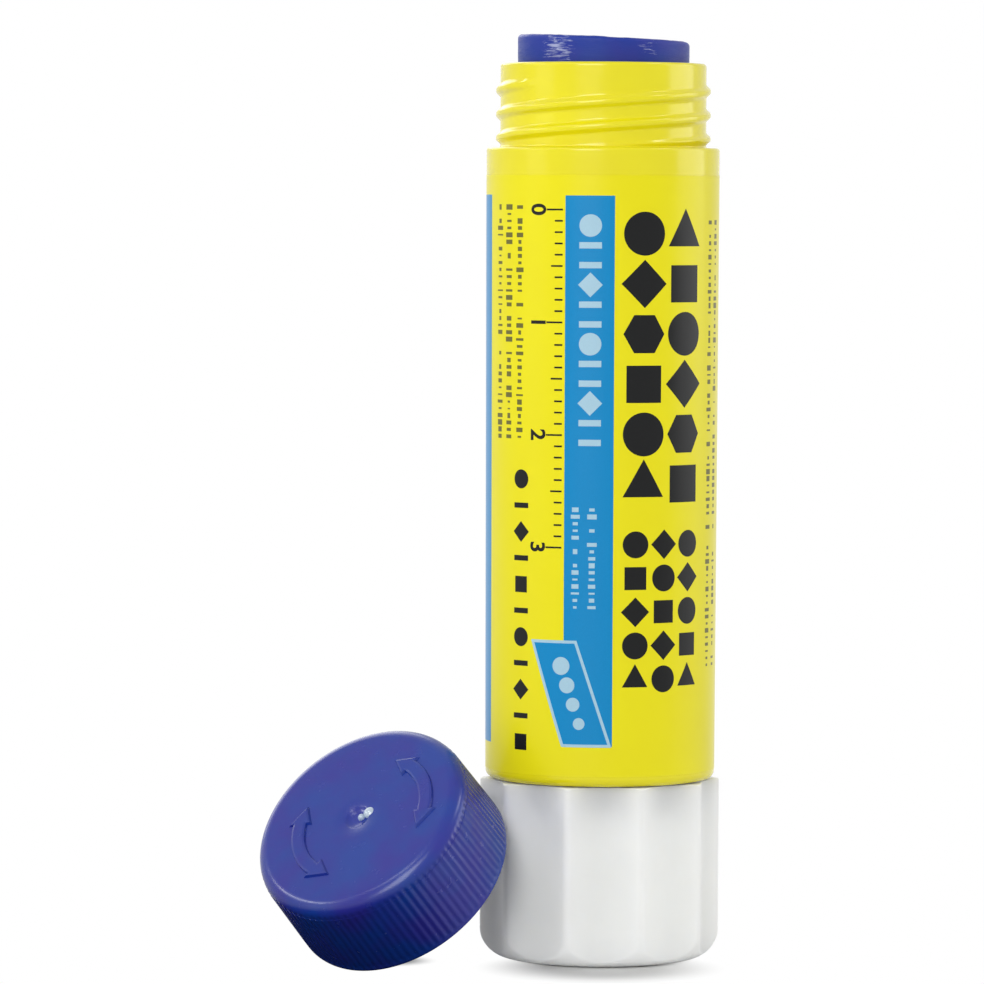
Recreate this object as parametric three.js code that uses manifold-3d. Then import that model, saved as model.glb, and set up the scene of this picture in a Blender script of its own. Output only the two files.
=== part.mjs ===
// A twist-up glue stick with its screw cap taken off and leaning against the knob.
// Millimetres, +Z up. The origin is the centre of the knob's flat base, and the stick's axis is Z.
import * as THREE from 'three';
import { mergeVertices } from 'three/addons/utils/BufferGeometryUtils.js';
import Module from 'manifold-3d';

const wasm = await Module();
wasm.setup();

// Glue bar
const glueRadius = 7.725;
const glueLength = 48;
const glueRise = 2.26; // how far the bar stands above the mouth as photographed
const glueSlant = 2.5; // degrees, the worn top face falls towards +X
const glueEdge = 0.35;
const glueTip = 4; // solid glue above the end of its bore

// Barrel, a double-walled moulding: an outer shell and an inner tube joined at the shoulder
const barrelLength = 56.9; // foot to shoulder
const glueClearance = 0.225;
const tubeWall = 0.8;
const hollowWidth = 0.6;
const shellWall = 1.0;
const shellDraft = 0.15; // the shell is this much larger in radius at the shoulder
const footInset = 0.85;
const footRise = 0.75;
const shoulderEdge = 0.2;
const shoulderWeb = 0.9;
const floorThickness = 1.2;
const grooveWidth = 1.8;
const grooveDepth = 0.35;
const grooveTopBelowShoulder = 0.6;

// Neck and its two-start right-hand thread
const neckHeight = 7.58;
const neckWall = 1.325;
const neckEdge = 0.25;
const threadDepth = 0.39;
const threadLead = 4.3;
const threadStarts = 2;
const threadRootWidth = 1.3;
const threadCrestWidth = 0.5;
const threadTopBelowMouth = 1.83; // centre of the ridge where a start runs out
const threadRunOutAngle = 232.5; // degrees from +X, where the first start runs out
const threadRunOut = 0.08; // of a turn, over which a ridge rises to its full height

// Label, a thin film in a shallow recess of the shell
const labelThickness = 0.2;
const labelGap = 0.1;
const labelBelowShoulder = 2.5;
const labelAboveFoot = 1.6;

// Knob
const knobHeight = 16;
const knobGap = 0.25; // running gap under the barrel's foot
const knobWall = 0.8; // at the bottom of a flute
const knobRunning = 0.2; // between the barrel's inner tube and the knob's cavity
const fluteCount = 10;
const fluteDepth = 1.08;
const fluteTurn = 19.5; // degrees from the front to the ridge on its right
const ridgeWidth = 0.5;
const knobRound = 2.7; // rounding of the base
const knobFloor = 1.4;
const knobRibs = 4;
const knobRibThickness = 0.9;
const knobRibHeight = 11;
const knobRibTurn = 45; // degrees from +X to the first rib
const postWall = 1.4;
const postGap = 0.3; // between the post and the barrel's floor above it

// Spindle, with a left-hand screw, so that the glue rises as the knob turns clockwise seen from below
const screwCore = 1.9;
const screwDepth = 0.7;
const screwLead = 4;
const screwRootWidth = 1.6;
const screwCrestWidth = 0.9;
const journalRadius = 3.3;
const journalClearance = 0.15;
const flangeRadius = 5.4;
const flangeThickness = 1.2;
const flangeGap = 0.3;
const shankSide = 4.2;
const shankLength = 6;
const shankClearance = 0.1;
const screwRunOut = 0.2;
const screwTip = 0.8;

// Carrier that lifts the glue
const carrierClearance = 0.2;
const carrierWall = 0.7;
const carrierPlate = 1.4;
const cupHeight = 5;
const skirtHeight = 10;
const hubHeight = 7;
const hubWall = 1.15;
const sleeveHeight = 1.5;
const nutClearance = 0.25;
const nutTurns = 1;
const nutPlay = 0.3; // along the axis, on each side of the nut's ridge
const nutRunOut = 0.15;
const keyHeight = 8;
const keyClearance = 0.2;
const finCount = 4;
const finThickness = 0.6;
const finHeight = 2.5;
const finTurn = 45; // degrees from +X, half-way between the keys
const castGap = 0.3; // between the glue and the carrier it is cast on

// Screw cap, in its own frame: rim at z = 0, closed top above
const capClearance = 0.2; // over the neck's thread
const capWall = 0.45;
const capHeadroom = 0.12;
const capTop = 1.1;
const capEdge = 1.4;
const capDraft = 0.2;
const ribCount = 96;
const ribDepth = 0.185;
const capRidgeRootWidth = 0.8;
const capRidgeCrestWidth = 0.35;
const capRidgeTurns = 0.8;
const capRidgeRunOut = 0.1;
const capRidgeClearance = 0.17;
const plugClearance = 0.15;
const plugWall = 0.6;
const plugHeight = 1.2;
const nubRadius = 0.5;
const nubHeight = 0.3;
const dimpleRadius = 1.0;
const dimpleDepth = 0.12;
const arrowRadius = 6.2;
const arrowWidth = 1.4;
const arrowHeadWidth = 2.4;
const arrowShaftAngle = 62; // degrees between the two heads
const arrowTipAngle = 100; // degrees from tip to tip
const arrowTurn = -46; // degrees, centre of the first arrow from the cap's lowest point
const arrowHeight = 0.15;

// How the cap leans: degrees about Z are from +X
const capTilt = 48.8; // its axis from the vertical
const capHeading = -126.4; // the way its closed top faces
const capBearing = -160.2; // where its rim's centre is, seen from the stick's axis
const capKnobClearance = 0.15;

// Facets
const roundSteps = 48;
const smallRoundSteps = 24;
const threadSteps = 24;
const screwSteps = 12;
const edgeSteps = 3;
const fluteSteps = 6;
const nubSteps = 12;
const baseSteps = 5;
const sink = 0.15; // how deep a ridge is rooted in the wall that carries it

// Heights along the stick
const footZ = knobHeight + knobGap;
const shoulderZ = footZ + barrelLength;
const mouthZ = shoulderZ + neckHeight;
const floorTopZ = footZ + floorThickness;
const postTopZ = footZ - postGap;
const flangeZ = floorTopZ + flangeGap;
const flangeTopZ = flangeZ + flangeThickness;
const glueTopZ = mouthZ + glueRise;
const glueFootZ = glueTopZ - glueLength;
const plateTopZ = glueFootZ - castGap;
const plateFootZ = plateTopZ - carrierPlate;
const skirtFootZ = plateFootZ - skirtHeight;
const cupTopZ = plateTopZ + cupHeight;
const hubFootZ = plateFootZ - hubHeight;
const screwTopZ = mouthZ - (cupTopZ - plateTopZ) - carrierPlate;
const boreTopZ = glueTopZ - glueTip;

// Radii about the stick's axis
const boreRadius = glueRadius + glueClearance;
const tubeRadius = boreRadius + tubeWall;
const shellBore = tubeRadius + hollowWidth;
const footRadius = shellBore + shellWall;
const shoulderRadius = footRadius + shellDraft;
const neckRadius = boreRadius + neckWall;
const threadRadius = neckRadius + threadDepth;
const floorHole = journalRadius + journalClearance;
const cavityRadius = tubeRadius + knobRunning;
const fluteRadius = cavityRadius + knobWall;
const ridgeRadius = fluteRadius + fluteDepth;
const socketSide = shankSide + 2 * shankClearance;
const postRadius = socketSide / Math.SQRT2 + postWall;
const screwRadius = screwCore + screwDepth;
const hubBore = screwRadius + nutClearance;
const hubRadius = hubBore + hubWall;
const carrierRadius = boreRadius - carrierClearance;
const cupBore = carrierRadius - carrierWall;
const capBore = threadRadius + capClearance;
const capRadius = capBore + capWall + ribDepth;
const capDepth = neckHeight + capHeadroom;
const capHeight = capDepth + capTop;

const radians = THREE.MathUtils.degToRad;

// Solids from three.js geometry

function solidFrom(geometry) {
  geometry.deleteAttribute('normal');
  geometry.deleteAttribute('uv');
  const merged = mergeVertices(geometry);
  const index = merged.index.array;
  const triangles = [];
  for (let i = 0; i < index.length; i += 3) {
    const [a, b, c] = [index[i], index[i + 1], index[i + 2]];
    if (a !== b && b !== c && c !== a) triangles.push(a, b, c);
  }
  return new wasm.Manifold(new wasm.Mesh({
    numProp: 3,
    vertProperties: new Float32Array(merged.attributes.position.array),
    triVerts: new Uint32Array(triangles),
  }));
}

function meshFrom(name, solid, material) {
  const { numProp, vertProperties, triVerts } = solid.getMesh();
  const positions = new Float32Array((vertProperties.length / numProp) * 3);
  for (let i = 0; i < positions.length / 3; i++) {
    for (let k = 0; k < 3; k++) positions[3 * i + k] = vertProperties[numProp * i + k];
  }
  const geometry = new THREE.BufferGeometry();
  geometry.setAttribute('position', new THREE.BufferAttribute(positions, 3));
  geometry.setIndex([...triVerts]);
  geometry.computeVertexNormals();
  const mesh = new THREE.Mesh(geometry, material);
  mesh.name = name;
  return mesh;
}

// A profile is a list of [radius, height] points, anticlockwise with the axis on the left.
function turned(profile, steps = roundSteps) {
  const points = profile.map(([r, z]) => new THREE.Vector2(r, z));
  const first = profile[0];
  const last = profile[profile.length - 1];
  if (first[0] > 0 || last[0] > 0) points.push(new THREE.Vector2(...first));
  return solidFrom(new THREE.LatheGeometry(points, steps).rotateX(Math.PI / 2));
}

function arc(centreR, centreZ, radiusR, radiusZ, from, to, steps = edgeSteps) {
  const points = [];
  for (let i = 0; i <= steps; i++) {
    const a = radians(from + ((to - from) * i) / steps);
    points.push([centreR + radiusR * Math.cos(a), centreZ + radiusZ * Math.sin(a)]);
  }
  return points;
}

function disc(radius, fromZ, toZ, steps = smallRoundSteps) {
  return turned([[0, fromZ], [radius, fromZ], [radius, toZ], [0, toZ]], steps);
}

function block(width, depth, height, x, y, footHeight) {
  return solidFrom(new THREE.BoxGeometry(width, depth, height).translate(x, y, footHeight + height / 2));
}

function prism(outline, height) {
  const shape = new THREE.Shape(outline.map(([x, y]) => new THREE.Vector2(x, y)));
  return new THREE.ExtrudeGeometry(shape, { depth: height, bevelEnabled: false });
}

function spun(solid, count, firstAngle = 0) {
  const copies = [];
  for (let i = 0; i < count; i++) copies.push(solid.rotate([0, 0, firstAngle + (360 * i) / count]));
  return wasm.Manifold.union(copies);
}

// One thread ridge: a trapezoid carried along a helix from its top end down. Its root lies inside
// the wall at wallRadius, and its height grows from nothing over the run-out at both ends.
function ridge({ wallRadius, crestRadius, rootWidth, crestWidth, lead, turns, topZ, topAngle, hand, steps, runOut }) {
  const root = wallRadius + Math.sign(wallRadius - crestRadius) * sink;
  const count = Math.floor(turns * steps);
  const positions = [];
  const index = [];
  for (let i = 0; i <= count; i++) {
    const turn = i / steps;
    const angle = radians(topAngle) - hand * 2 * Math.PI * turn;
    const z = topZ - lead * turn;
    const rise = Math.min(1, turn / runOut, (count / steps - turn) / runOut);
    const crest = wallRadius + (crestRadius - wallRadius) * Math.sin((rise * Math.PI) / 2);
    const section = [[root, -rootWidth / 2], [crest, -crestWidth / 2], [crest, crestWidth / 2], [root, rootWidth / 2]];
    for (const [r, dz] of section) positions.push(r * Math.cos(angle), r * Math.sin(angle), z + dz);
  }
  const flip = hand * Math.sign(crestRadius - wallRadius) > 0;
  const face = (a, b, c) => (flip ? index.push(a, c, b) : index.push(a, b, c));
  for (let i = 0; i < count; i++) {
    for (let k = 0; k < 4; k++) {
      const here = 4 * i + k;
      const next = 4 * i + ((k + 1) % 4);
      face(here, here + 4, next + 4);
      face(here, next + 4, next);
    }
  }
  const end = 4 * count;
  face(0, 1, 2);
  face(0, 2, 3);
  face(end, end + 2, end + 1);
  face(end, end + 3, end + 2);
  const geometry = new THREE.BufferGeometry();
  geometry.setAttribute('position', new THREE.Float32BufferAttribute(positions, 3));
  geometry.setIndex(index);
  return solidFrom(geometry);
}

// Barrel

function shellRadiusAt(z) {
  return footRadius + (shellDraft * (z - footZ)) / barrelLength;
}

const labelFootZ = footZ + labelAboveFoot;
const labelTopZ = shoulderZ - labelBelowShoulder;
const recessDepth = labelThickness + labelGap;

function neckRidge(start) {
  return ridge({
    wallRadius: neckRadius,
    crestRadius: threadRadius,
    rootWidth: threadRootWidth,
    crestWidth: threadCrestWidth,
    lead: threadLead,
    turns: (neckHeight - threadTopBelowMouth) / threadLead,
    topZ: mouthZ - threadTopBelowMouth,
    topAngle: threadRunOutAngle + (360 * start) / threadStarts,
    hand: 1,
    steps: threadSteps,
    runOut: threadRunOut,
  });
}

function makeBarrel() {
  const profile = [
    [floorHole, footZ],
    [tubeRadius, footZ],
    [tubeRadius, shoulderZ - shoulderWeb],
    [shellBore, shoulderZ - shoulderWeb],
    [shellBore, footZ],
    ...arc(footRadius - footInset, footZ + footRise, footInset, footRise, -90, 0),
    [shellRadiusAt(labelFootZ), labelFootZ],
    [shellRadiusAt(labelFootZ) - recessDepth, labelFootZ],
    [shellRadiusAt(labelTopZ) - recessDepth, labelTopZ],
    [shellRadiusAt(labelTopZ), labelTopZ],
    ...arc(shoulderRadius - shoulderEdge, shoulderZ - shoulderEdge, shoulderEdge, shoulderEdge, 0, 90, 1),
    [neckRadius, shoulderZ],
    ...arc(neckRadius - neckEdge, mouthZ - neckEdge, neckEdge, neckEdge, 0, 90, 2),
    ...arc(boreRadius + neckEdge, mouthZ - neckEdge, neckEdge, neckEdge, 90, 180, 2),
    [boreRadius, floorTopZ],
    [floorHole, floorTopZ],
  ];
  let barrel = turned(profile);
  const ridges = [];
  for (let start = 0; start < threadStarts; start++) ridges.push(neckRidge(start));
  const belowShoulder = disc(shellBore, footZ, shoulderZ - shoulderWeb / 2, roundSteps);
  barrel = barrel.add(wasm.Manifold.union(ridges).subtract(belowShoulder));
  const grooveTopZ = shoulderZ - grooveTopBelowShoulder;
  const reach = boreRadius + grooveDepth;
  const groove = block(2 * reach, grooveWidth, grooveTopZ - floorTopZ, 0, 0, floorTopZ);
  return barrel.subtract(groove);
}

function makeLabel() {
  const inner = (z) => shellRadiusAt(z) - labelThickness;
  const lowZ = labelFootZ + labelGap;
  const highZ = labelTopZ - labelGap;
  return turned([
    [inner(lowZ), lowZ],
    [shellRadiusAt(lowZ), lowZ],
    [shellRadiusAt(highZ), highZ],
    [inner(highZ), highZ],
  ]);
}

// Knob

// Ten shallow flutes meet in narrow ridges. Each flute is an arc through two ridges and its bottom.
function knobOutline() {
  const points = [];
  const half = Math.PI / fluteCount;
  const halfRidge = ridgeWidth / 2 / ridgeRadius;
  const edgeX = ridgeRadius * Math.cos(half - halfRidge);
  const edgeY = ridgeRadius * Math.sin(half - halfRidge);
  const scoop = edgeX - fluteRadius;
  for (let i = 0; i < fluteCount; i++) {
    const middle = radians(fluteTurn - 90) + half + 2 * half * i;
    for (let k = 0; k <= fluteSteps; k++) {
      const s = (2 * k) / fluteSteps - 1;
      const x = edgeX - scoop * (1 - s * s);
      const y = s * edgeY;
      points.push([
        x * Math.cos(middle) - y * Math.sin(middle),
        x * Math.sin(middle) + y * Math.cos(middle),
      ]);
    }
  }
  return points;
}

function makeKnob() {
  const envelope = turned([
    [0, 0],
    ...arc(ridgeRadius - knobRound, knobRound, knobRound, knobRound, -90, 0, baseSteps),
    [ridgeRadius, knobHeight],
    [0, knobHeight],
  ]);
  const fluted = solidFrom(prism(knobOutline(), knobHeight));
  const cavity = turned([
    [postRadius, knobFloor],
    [cavityRadius - knobRound, knobFloor],
    [cavityRadius, knobFloor + knobRound],
    [cavityRadius, knobHeight + knobGap],
    [postRadius, knobHeight + knobGap],
  ]);
  const rib = block(cavityRadius - postRadius + 2 * sink, knobRibThickness, knobRibHeight,
    (cavityRadius + postRadius) / 2, 0, knobFloor - sink);
  const ribs = spun(rib, knobRibs, knobRibTurn);
  const postHead = disc(postRadius + sink, postTopZ, knobHeight + knobGap);
  const socketDepth = shankLength + postGap;
  const socket = block(socketSide, socketSide, socketDepth + knobGap, 0, 0, postTopZ - socketDepth);
  return envelope.intersect(fluted).subtract(cavity.subtract(ribs)).subtract(postHead).subtract(socket);
}

// Spindle and carrier

function makeSpindle() {
  const seatZ = postTopZ + shankClearance;
  const head = turned([
    [0, seatZ],
    [journalRadius, seatZ],
    [journalRadius, flangeZ],
    [flangeRadius, flangeZ],
    [flangeRadius, flangeTopZ],
    [0, flangeTopZ],
  ], smallRoundSteps);
  const core = turned([
    [0, flangeTopZ - sink],
    [screwCore, flangeTopZ - sink],
    [screwCore, screwTopZ - screwTip],
    [screwCore - screwTip, screwTopZ],
    [0, screwTopZ],
  ], screwSteps);
  const shank = block(shankSide, shankSide, shankLength + sink, 0, 0, seatZ - shankLength);
  const ridgeTopZ = screwTopZ - screwTip - screwRootWidth / 2;
  const ridgeFootZ = flangeTopZ + screwRootWidth / 2;
  const screw = ridge({
    wallRadius: screwCore,
    crestRadius: screwRadius,
    rootWidth: screwRootWidth,
    crestWidth: screwCrestWidth,
    lead: screwLead,
    turns: (ridgeTopZ - ridgeFootZ) / screwLead,
    topZ: ridgeTopZ,
    topAngle: 0,
    hand: -1,
    steps: screwSteps,
    runOut: screwRunOut,
  });
  return wasm.Manifold.union([head, core, shank, screw]);
}

// The nut's ridge lies half a lead from the spindle's, at the same angle.
function nutRidge() {
  const ridgeTopZ = screwTopZ - screwTip - screwRootWidth / 2;
  const rootWidth = screwLead - screwCrestWidth - 2 * nutPlay;
  const wantedTopZ = plateTopZ + sleeveHeight - rootWidth / 2;
  const turnsDown = Math.ceil((ridgeTopZ - wantedTopZ) / screwLead) + 0.5;
  const helix = ridge({
    wallRadius: hubBore,
    crestRadius: screwCore + nutClearance,
    rootWidth,
    crestWidth: screwLead - screwRootWidth - 2 * nutPlay,
    lead: screwLead,
    turns: nutTurns,
    topZ: ridgeTopZ - turnsDown * screwLead,
    topAngle: 0,
    hand: -1,
    steps: screwSteps,
    runOut: nutRunOut,
  });
  return helix.intersect(disc(hubRadius, hubFootZ, plateTopZ + sleeveHeight));
}

function carrierFin(growth) {
  const from = hubRadius - sink;
  const to = cupBore + sink;
  return block(to - from, finThickness + 2 * growth, finHeight + growth + sink,
    (from + to) / 2, 0, plateTopZ - sink);
}

function makeCarrier() {
  const body = turned([
    [hubBore, hubFootZ],
    [hubRadius, hubFootZ],
    [hubRadius, plateFootZ],
    [cupBore, plateFootZ],
    [cupBore, skirtFootZ],
    [carrierRadius, skirtFootZ],
    [carrierRadius, cupTopZ],
    [cupBore, cupTopZ],
    [cupBore, plateTopZ],
    [hubRadius, plateTopZ],
    [hubRadius, plateTopZ + sleeveHeight],
    [hubBore, plateTopZ + sleeveHeight],
  ]);
  const keyReach = boreRadius + grooveDepth - keyClearance;
  const keyBar = block(2 * keyReach, grooveWidth - 2 * keyClearance, keyHeight, 0, 0, skirtFootZ);
  const keys = keyBar.subtract(disc(cupBore, skirtFootZ - sink, skirtFootZ + keyHeight + sink, roundSteps));
  const fins = spun(carrierFin(0), finCount, finTurn);
  return wasm.Manifold.union([body, keys, fins, nutRidge()]);
}

// Glue

function makeGlue() {
  const footRadiusInCup = cupBore - castGap;
  const reachTop = glueTopZ - glueEdge;
  const lathe = turned([
    [0, boreTopZ],
    [hubBore, boreTopZ],
    [hubBore, plateTopZ + sleeveHeight + castGap],
    [hubRadius + castGap, plateTopZ + sleeveHeight + castGap],
    [hubRadius + castGap, glueFootZ],
    [footRadiusInCup, glueFootZ],
    [footRadiusInCup, cupTopZ + castGap],
    [glueRadius, cupTopZ + castGap],
    ...arc(glueRadius - glueEdge, reachTop, glueEdge, glueEdge, 0, 90, 3),
    [0, glueTopZ],
  ]);
  const slope = Math.tan(radians(glueSlant));
  const slanted = lathe.warp((vertex) => {
    if (vertex[2] > boreTopZ + sink) vertex[2] -= slope * vertex[0];
  });
  return slanted.subtract(spun(carrierFin(castGap), finCount, finTurn));
}

// Screw cap

// The outside is turned with two meridians to a rib, and every second one is drawn in to the root.
// The ribs fade out where the rounding of the top begins.
function ribbedOutside() {
  const topRadius = capRadius - capDraft;
  const outside = turned([
    [0, 0],
    [capRadius, 0],
    ...arc(topRadius - capEdge, capHeight - capEdge, capEdge, capEdge, 0, 90, 3),
    [0, capHeight],
  ], 2 * ribCount);
  const ribTop = capHeight - capEdge * Math.cos(Math.PI / 6);
  return outside.warp((vertex) => {
    const radius = Math.hypot(vertex[0], vertex[1]);
    const meridian = Math.round((Math.atan2(vertex[1], vertex[0]) * ribCount) / Math.PI);
    if (radius > topRadius / 2 && vertex[2] < ribTop && meridian % 2 !== 0) {
      const scale = 1 - ribDepth / radius;
      vertex[0] *= scale;
      vertex[1] *= scale;
    }
  });
}

function capArrow() {
  const outline = [];
  const half = arrowShaftAngle / 2;
  const at = (radius, angle) => outline.push([
    radius * Math.cos(radians(angle)),
    radius * Math.sin(radians(angle)),
  ]);
  at(arrowRadius, -arrowTipAngle / 2);
  at(arrowRadius + arrowHeadWidth / 2, -half);
  for (let i = 0; i <= fluteSteps; i++) at(arrowRadius + arrowWidth / 2, -half + (arrowShaftAngle * i) / fluteSteps);
  at(arrowRadius + arrowHeadWidth / 2, half);
  at(arrowRadius, arrowTipAngle / 2);
  at(arrowRadius - arrowHeadWidth / 2, half);
  for (let i = 0; i <= fluteSteps; i++) at(arrowRadius - arrowWidth / 2, half - (arrowShaftAngle * i) / fluteSteps);
  at(arrowRadius - arrowHeadWidth / 2, -half);
  return solidFrom(prism(outline, arrowHeight + sink).translate(0, 0, capHeight - sink));
}

function capRidge(start) {
  return ridge({
    wallRadius: capBore,
    crestRadius: neckRadius + capRidgeClearance,
    rootWidth: capRidgeRootWidth,
    crestWidth: capRidgeCrestWidth,
    lead: threadLead,
    turns: capRidgeTurns,
    topZ: capDepth - plugHeight - capRidgeRootWidth / 2,
    topAngle: (360 * start) / threadStarts,
    hand: 1,
    steps: threadSteps,
    runOut: capRidgeRunOut,
  });
}

function makeCap() {
  const hollow = disc(capBore, -sink, capDepth, roundSteps);
  const plug = turned([
    [boreRadius - plugClearance - plugWall, capDepth - plugHeight],
    [boreRadius - plugClearance, capDepth - plugHeight],
    [boreRadius - plugClearance, capDepth + sink],
    [boreRadius - plugClearance - plugWall, capDepth + sink],
  ], smallRoundSteps);
  const ridges = [];
  for (let start = 0; start < threadStarts; start++) ridges.push(capRidge(start));
  const dimple = disc(dimpleRadius, capHeight - dimpleDepth, capHeight + sink);
  const nub = turned([
    [0, capHeight - dimpleDepth - sink],
    [nubRadius, capHeight - dimpleDepth - sink],
    ...arc(0, capHeight - dimpleDepth, nubRadius, nubHeight, 0, 90, 3).slice(0, -1),
    [0, capHeight - dimpleDepth + nubHeight],
  ], nubSteps);
  const arrows = spun(capArrow(), 2, arrowTurn);
  const shell = ribbedOutside().subtract(hollow).subtract(dimple);
  return wasm.Manifold.union([shell, plug, ...ridges, nub, arrows]);
}

// The rim's centre is as near the stick as the knob's ridges let it be, with the rim on the ground.
function leaningDistance() {
  const tilt = radians(capTilt);
  const heading = radians(capHeading);
  const bearing = radians(capBearing);
  const clear = ridgeRadius + capKnobClearance;
  let distance = 0;
  for (let degree = 0; degree < 360; degree++) {
    const down = capRadius * Math.cos(radians(degree)) * Math.cos(tilt);
    const across = capRadius * Math.sin(radians(degree));
    const x = down * Math.cos(heading) - across * Math.sin(heading);
    const y = down * Math.sin(heading) + across * Math.cos(heading);
    const along = x * Math.cos(bearing) + y * Math.sin(bearing);
    const reach = along ** 2 - x ** 2 - y ** 2 + clear ** 2;
    if (reach > 0) distance = Math.max(distance, Math.sqrt(reach) - along);
  }
  return distance;
}

function leaningCap(mesh) {
  const distance = leaningDistance();
  const tilted = new THREE.Group();
  tilted.rotation.y = radians(capTilt);
  tilted.add(mesh);
  const placed = new THREE.Group();
  placed.rotation.z = radians(capHeading);
  placed.position.set(
    distance * Math.cos(radians(capBearing)),
    distance * Math.sin(radians(capBearing)),
    capRadius * Math.sin(radians(capTilt)),
  );
  placed.add(tilted);
  return placed;
}

// Materials: all mouldings are polypropylene, the label is a printed film

function plastic(color, roughness) {
  return new THREE.MeshStandardMaterial({ color, roughness, metalness: 0 });
}

const yellowPlastic = plastic(0xe9df1c, 0.35);
const labelFilm = plastic(0xe8e120, 0.3);
const whitePlastic = plastic(0xe4e6e4, 0.4);
const naturalPlastic = plastic(0xeeeeea, 0.45);
const bluePlastic = plastic(0x262a8c, 0.4);
const blueGlue = plastic(0x26279a, 0.25);

const glueStick = new THREE.Group();
glueStick.add(
  meshFrom('barrel', makeBarrel(), yellowPlastic),
  meshFrom('barrel_label', makeLabel(), labelFilm),
  meshFrom('turn_knob', makeKnob(), whitePlastic),
  meshFrom('screw_spindle', makeSpindle(), naturalPlastic),
  meshFrom('glue_carrier', makeCarrier(), naturalPlastic),
  meshFrom('glue_bar', makeGlue(), blueGlue),
  leaningCap(meshFrom('screw_cap', makeCap(), bluePlastic)),
);

export default glueStick;
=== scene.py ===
# A twist-up glue stick standing on its knob, with its screw cap off and leaning on the knob.
# Sizes are written in millimetres, and the meshes are in metres.
import math

import bmesh
import bpy
from mathutils import Matrix, Vector, noise


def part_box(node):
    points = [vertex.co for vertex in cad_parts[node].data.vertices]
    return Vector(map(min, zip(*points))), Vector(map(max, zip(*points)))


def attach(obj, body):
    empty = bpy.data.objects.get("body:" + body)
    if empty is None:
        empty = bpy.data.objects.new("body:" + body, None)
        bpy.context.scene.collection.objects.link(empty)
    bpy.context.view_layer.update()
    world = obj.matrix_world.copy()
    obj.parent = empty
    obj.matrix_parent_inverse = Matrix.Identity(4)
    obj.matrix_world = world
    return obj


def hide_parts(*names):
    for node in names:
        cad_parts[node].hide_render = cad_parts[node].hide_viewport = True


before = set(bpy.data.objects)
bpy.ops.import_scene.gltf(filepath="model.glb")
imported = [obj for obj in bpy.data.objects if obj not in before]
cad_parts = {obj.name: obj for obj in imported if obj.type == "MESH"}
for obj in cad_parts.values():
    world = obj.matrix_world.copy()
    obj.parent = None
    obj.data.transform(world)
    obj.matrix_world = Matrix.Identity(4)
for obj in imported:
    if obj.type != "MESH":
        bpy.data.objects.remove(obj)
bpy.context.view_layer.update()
mm = 0.001
touching = 1e-6  # lengths that differ by less, in millimetres, are the same
weld = 1e-8  # points nearer than this, in metres, are one


# Helpers

def linearColour(hexColour):
    # sRGB hex to the linear values that shaders take
    channels = []
    for start in (1, 3, 5):
        value = int(hexColour[start:start + 2], 16) / 255
        channels.append(value / 12.92 if value <= 0.04045 else ((value + 0.055) / 1.055) ** 2.4)
    return (*channels, 1.0)


def addNode(tree, kind, settings=None, inputs=None):
    # An input is a plain value, another node's socket, or a node, which stands for its first output.
    node = tree.nodes.new(kind)
    for name, value in (settings or {}).items():
        setattr(node, name, value)
    for name, value in (inputs or {}).items():
        if isinstance(value, bpy.types.Node):
            value = value.outputs[0]
        if isinstance(value, bpy.types.NodeSocket):
            tree.links.new(value, node.inputs[name])
        else:
            node.inputs[name].default_value = value
    return node


def newMaterial(name):
    material = bpy.data.materials.new(name)
    material.use_nodes = True
    tree = material.node_tree
    tree.nodes.clear()
    surface = addNode(tree, "ShaderNodeBsdfPrincipled")
    output = addNode(tree, "ShaderNodeOutputMaterial")
    tree.links.new(surface.outputs[0], output.inputs[0])
    place = addNode(tree, "ShaderNodeTexCoord")
    scaled = addNode(tree, "ShaderNodeMapping",
                     inputs={0: place.outputs["Object"], "Scale": (1 / mm, 1 / mm, 1 / mm)})
    return material, tree, surface, scaled.outputs[0]  # the last one is the place in millimetres


def newObject(name, points, faces, material):
    mesh = bpy.data.meshes.new(name)
    mesh.from_pydata([Vector(point) * mm for point in points], [], faces)
    mesh.validate()
    piece = bpy.data.objects.new(name, mesh)
    bpy.context.collection.objects.link(piece)
    mesh.materials.append(material)
    mesh.shade_smooth()
    return piece


def arc(centreR, centreZ, radiusR, radiusZ, start, end, steps):
    points = []
    for i in range(steps + 1):
        angle = math.radians(start + (end - start) * i / steps)
        points.append((centreR + radiusR * math.cos(angle), centreZ + radiusZ * math.sin(angle)))
    return points


def rows(radius, low, high, spacing, endRadius=None):
    count = max(1, round(abs(high - low) / spacing))
    endRadius = radius if endRadius is None else endRadius
    points = []
    for i in range(count + 1):
        share = i / count
        points.append((radius + (endRadius - radius) * share, low + (high - low) * share))
    return points


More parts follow.
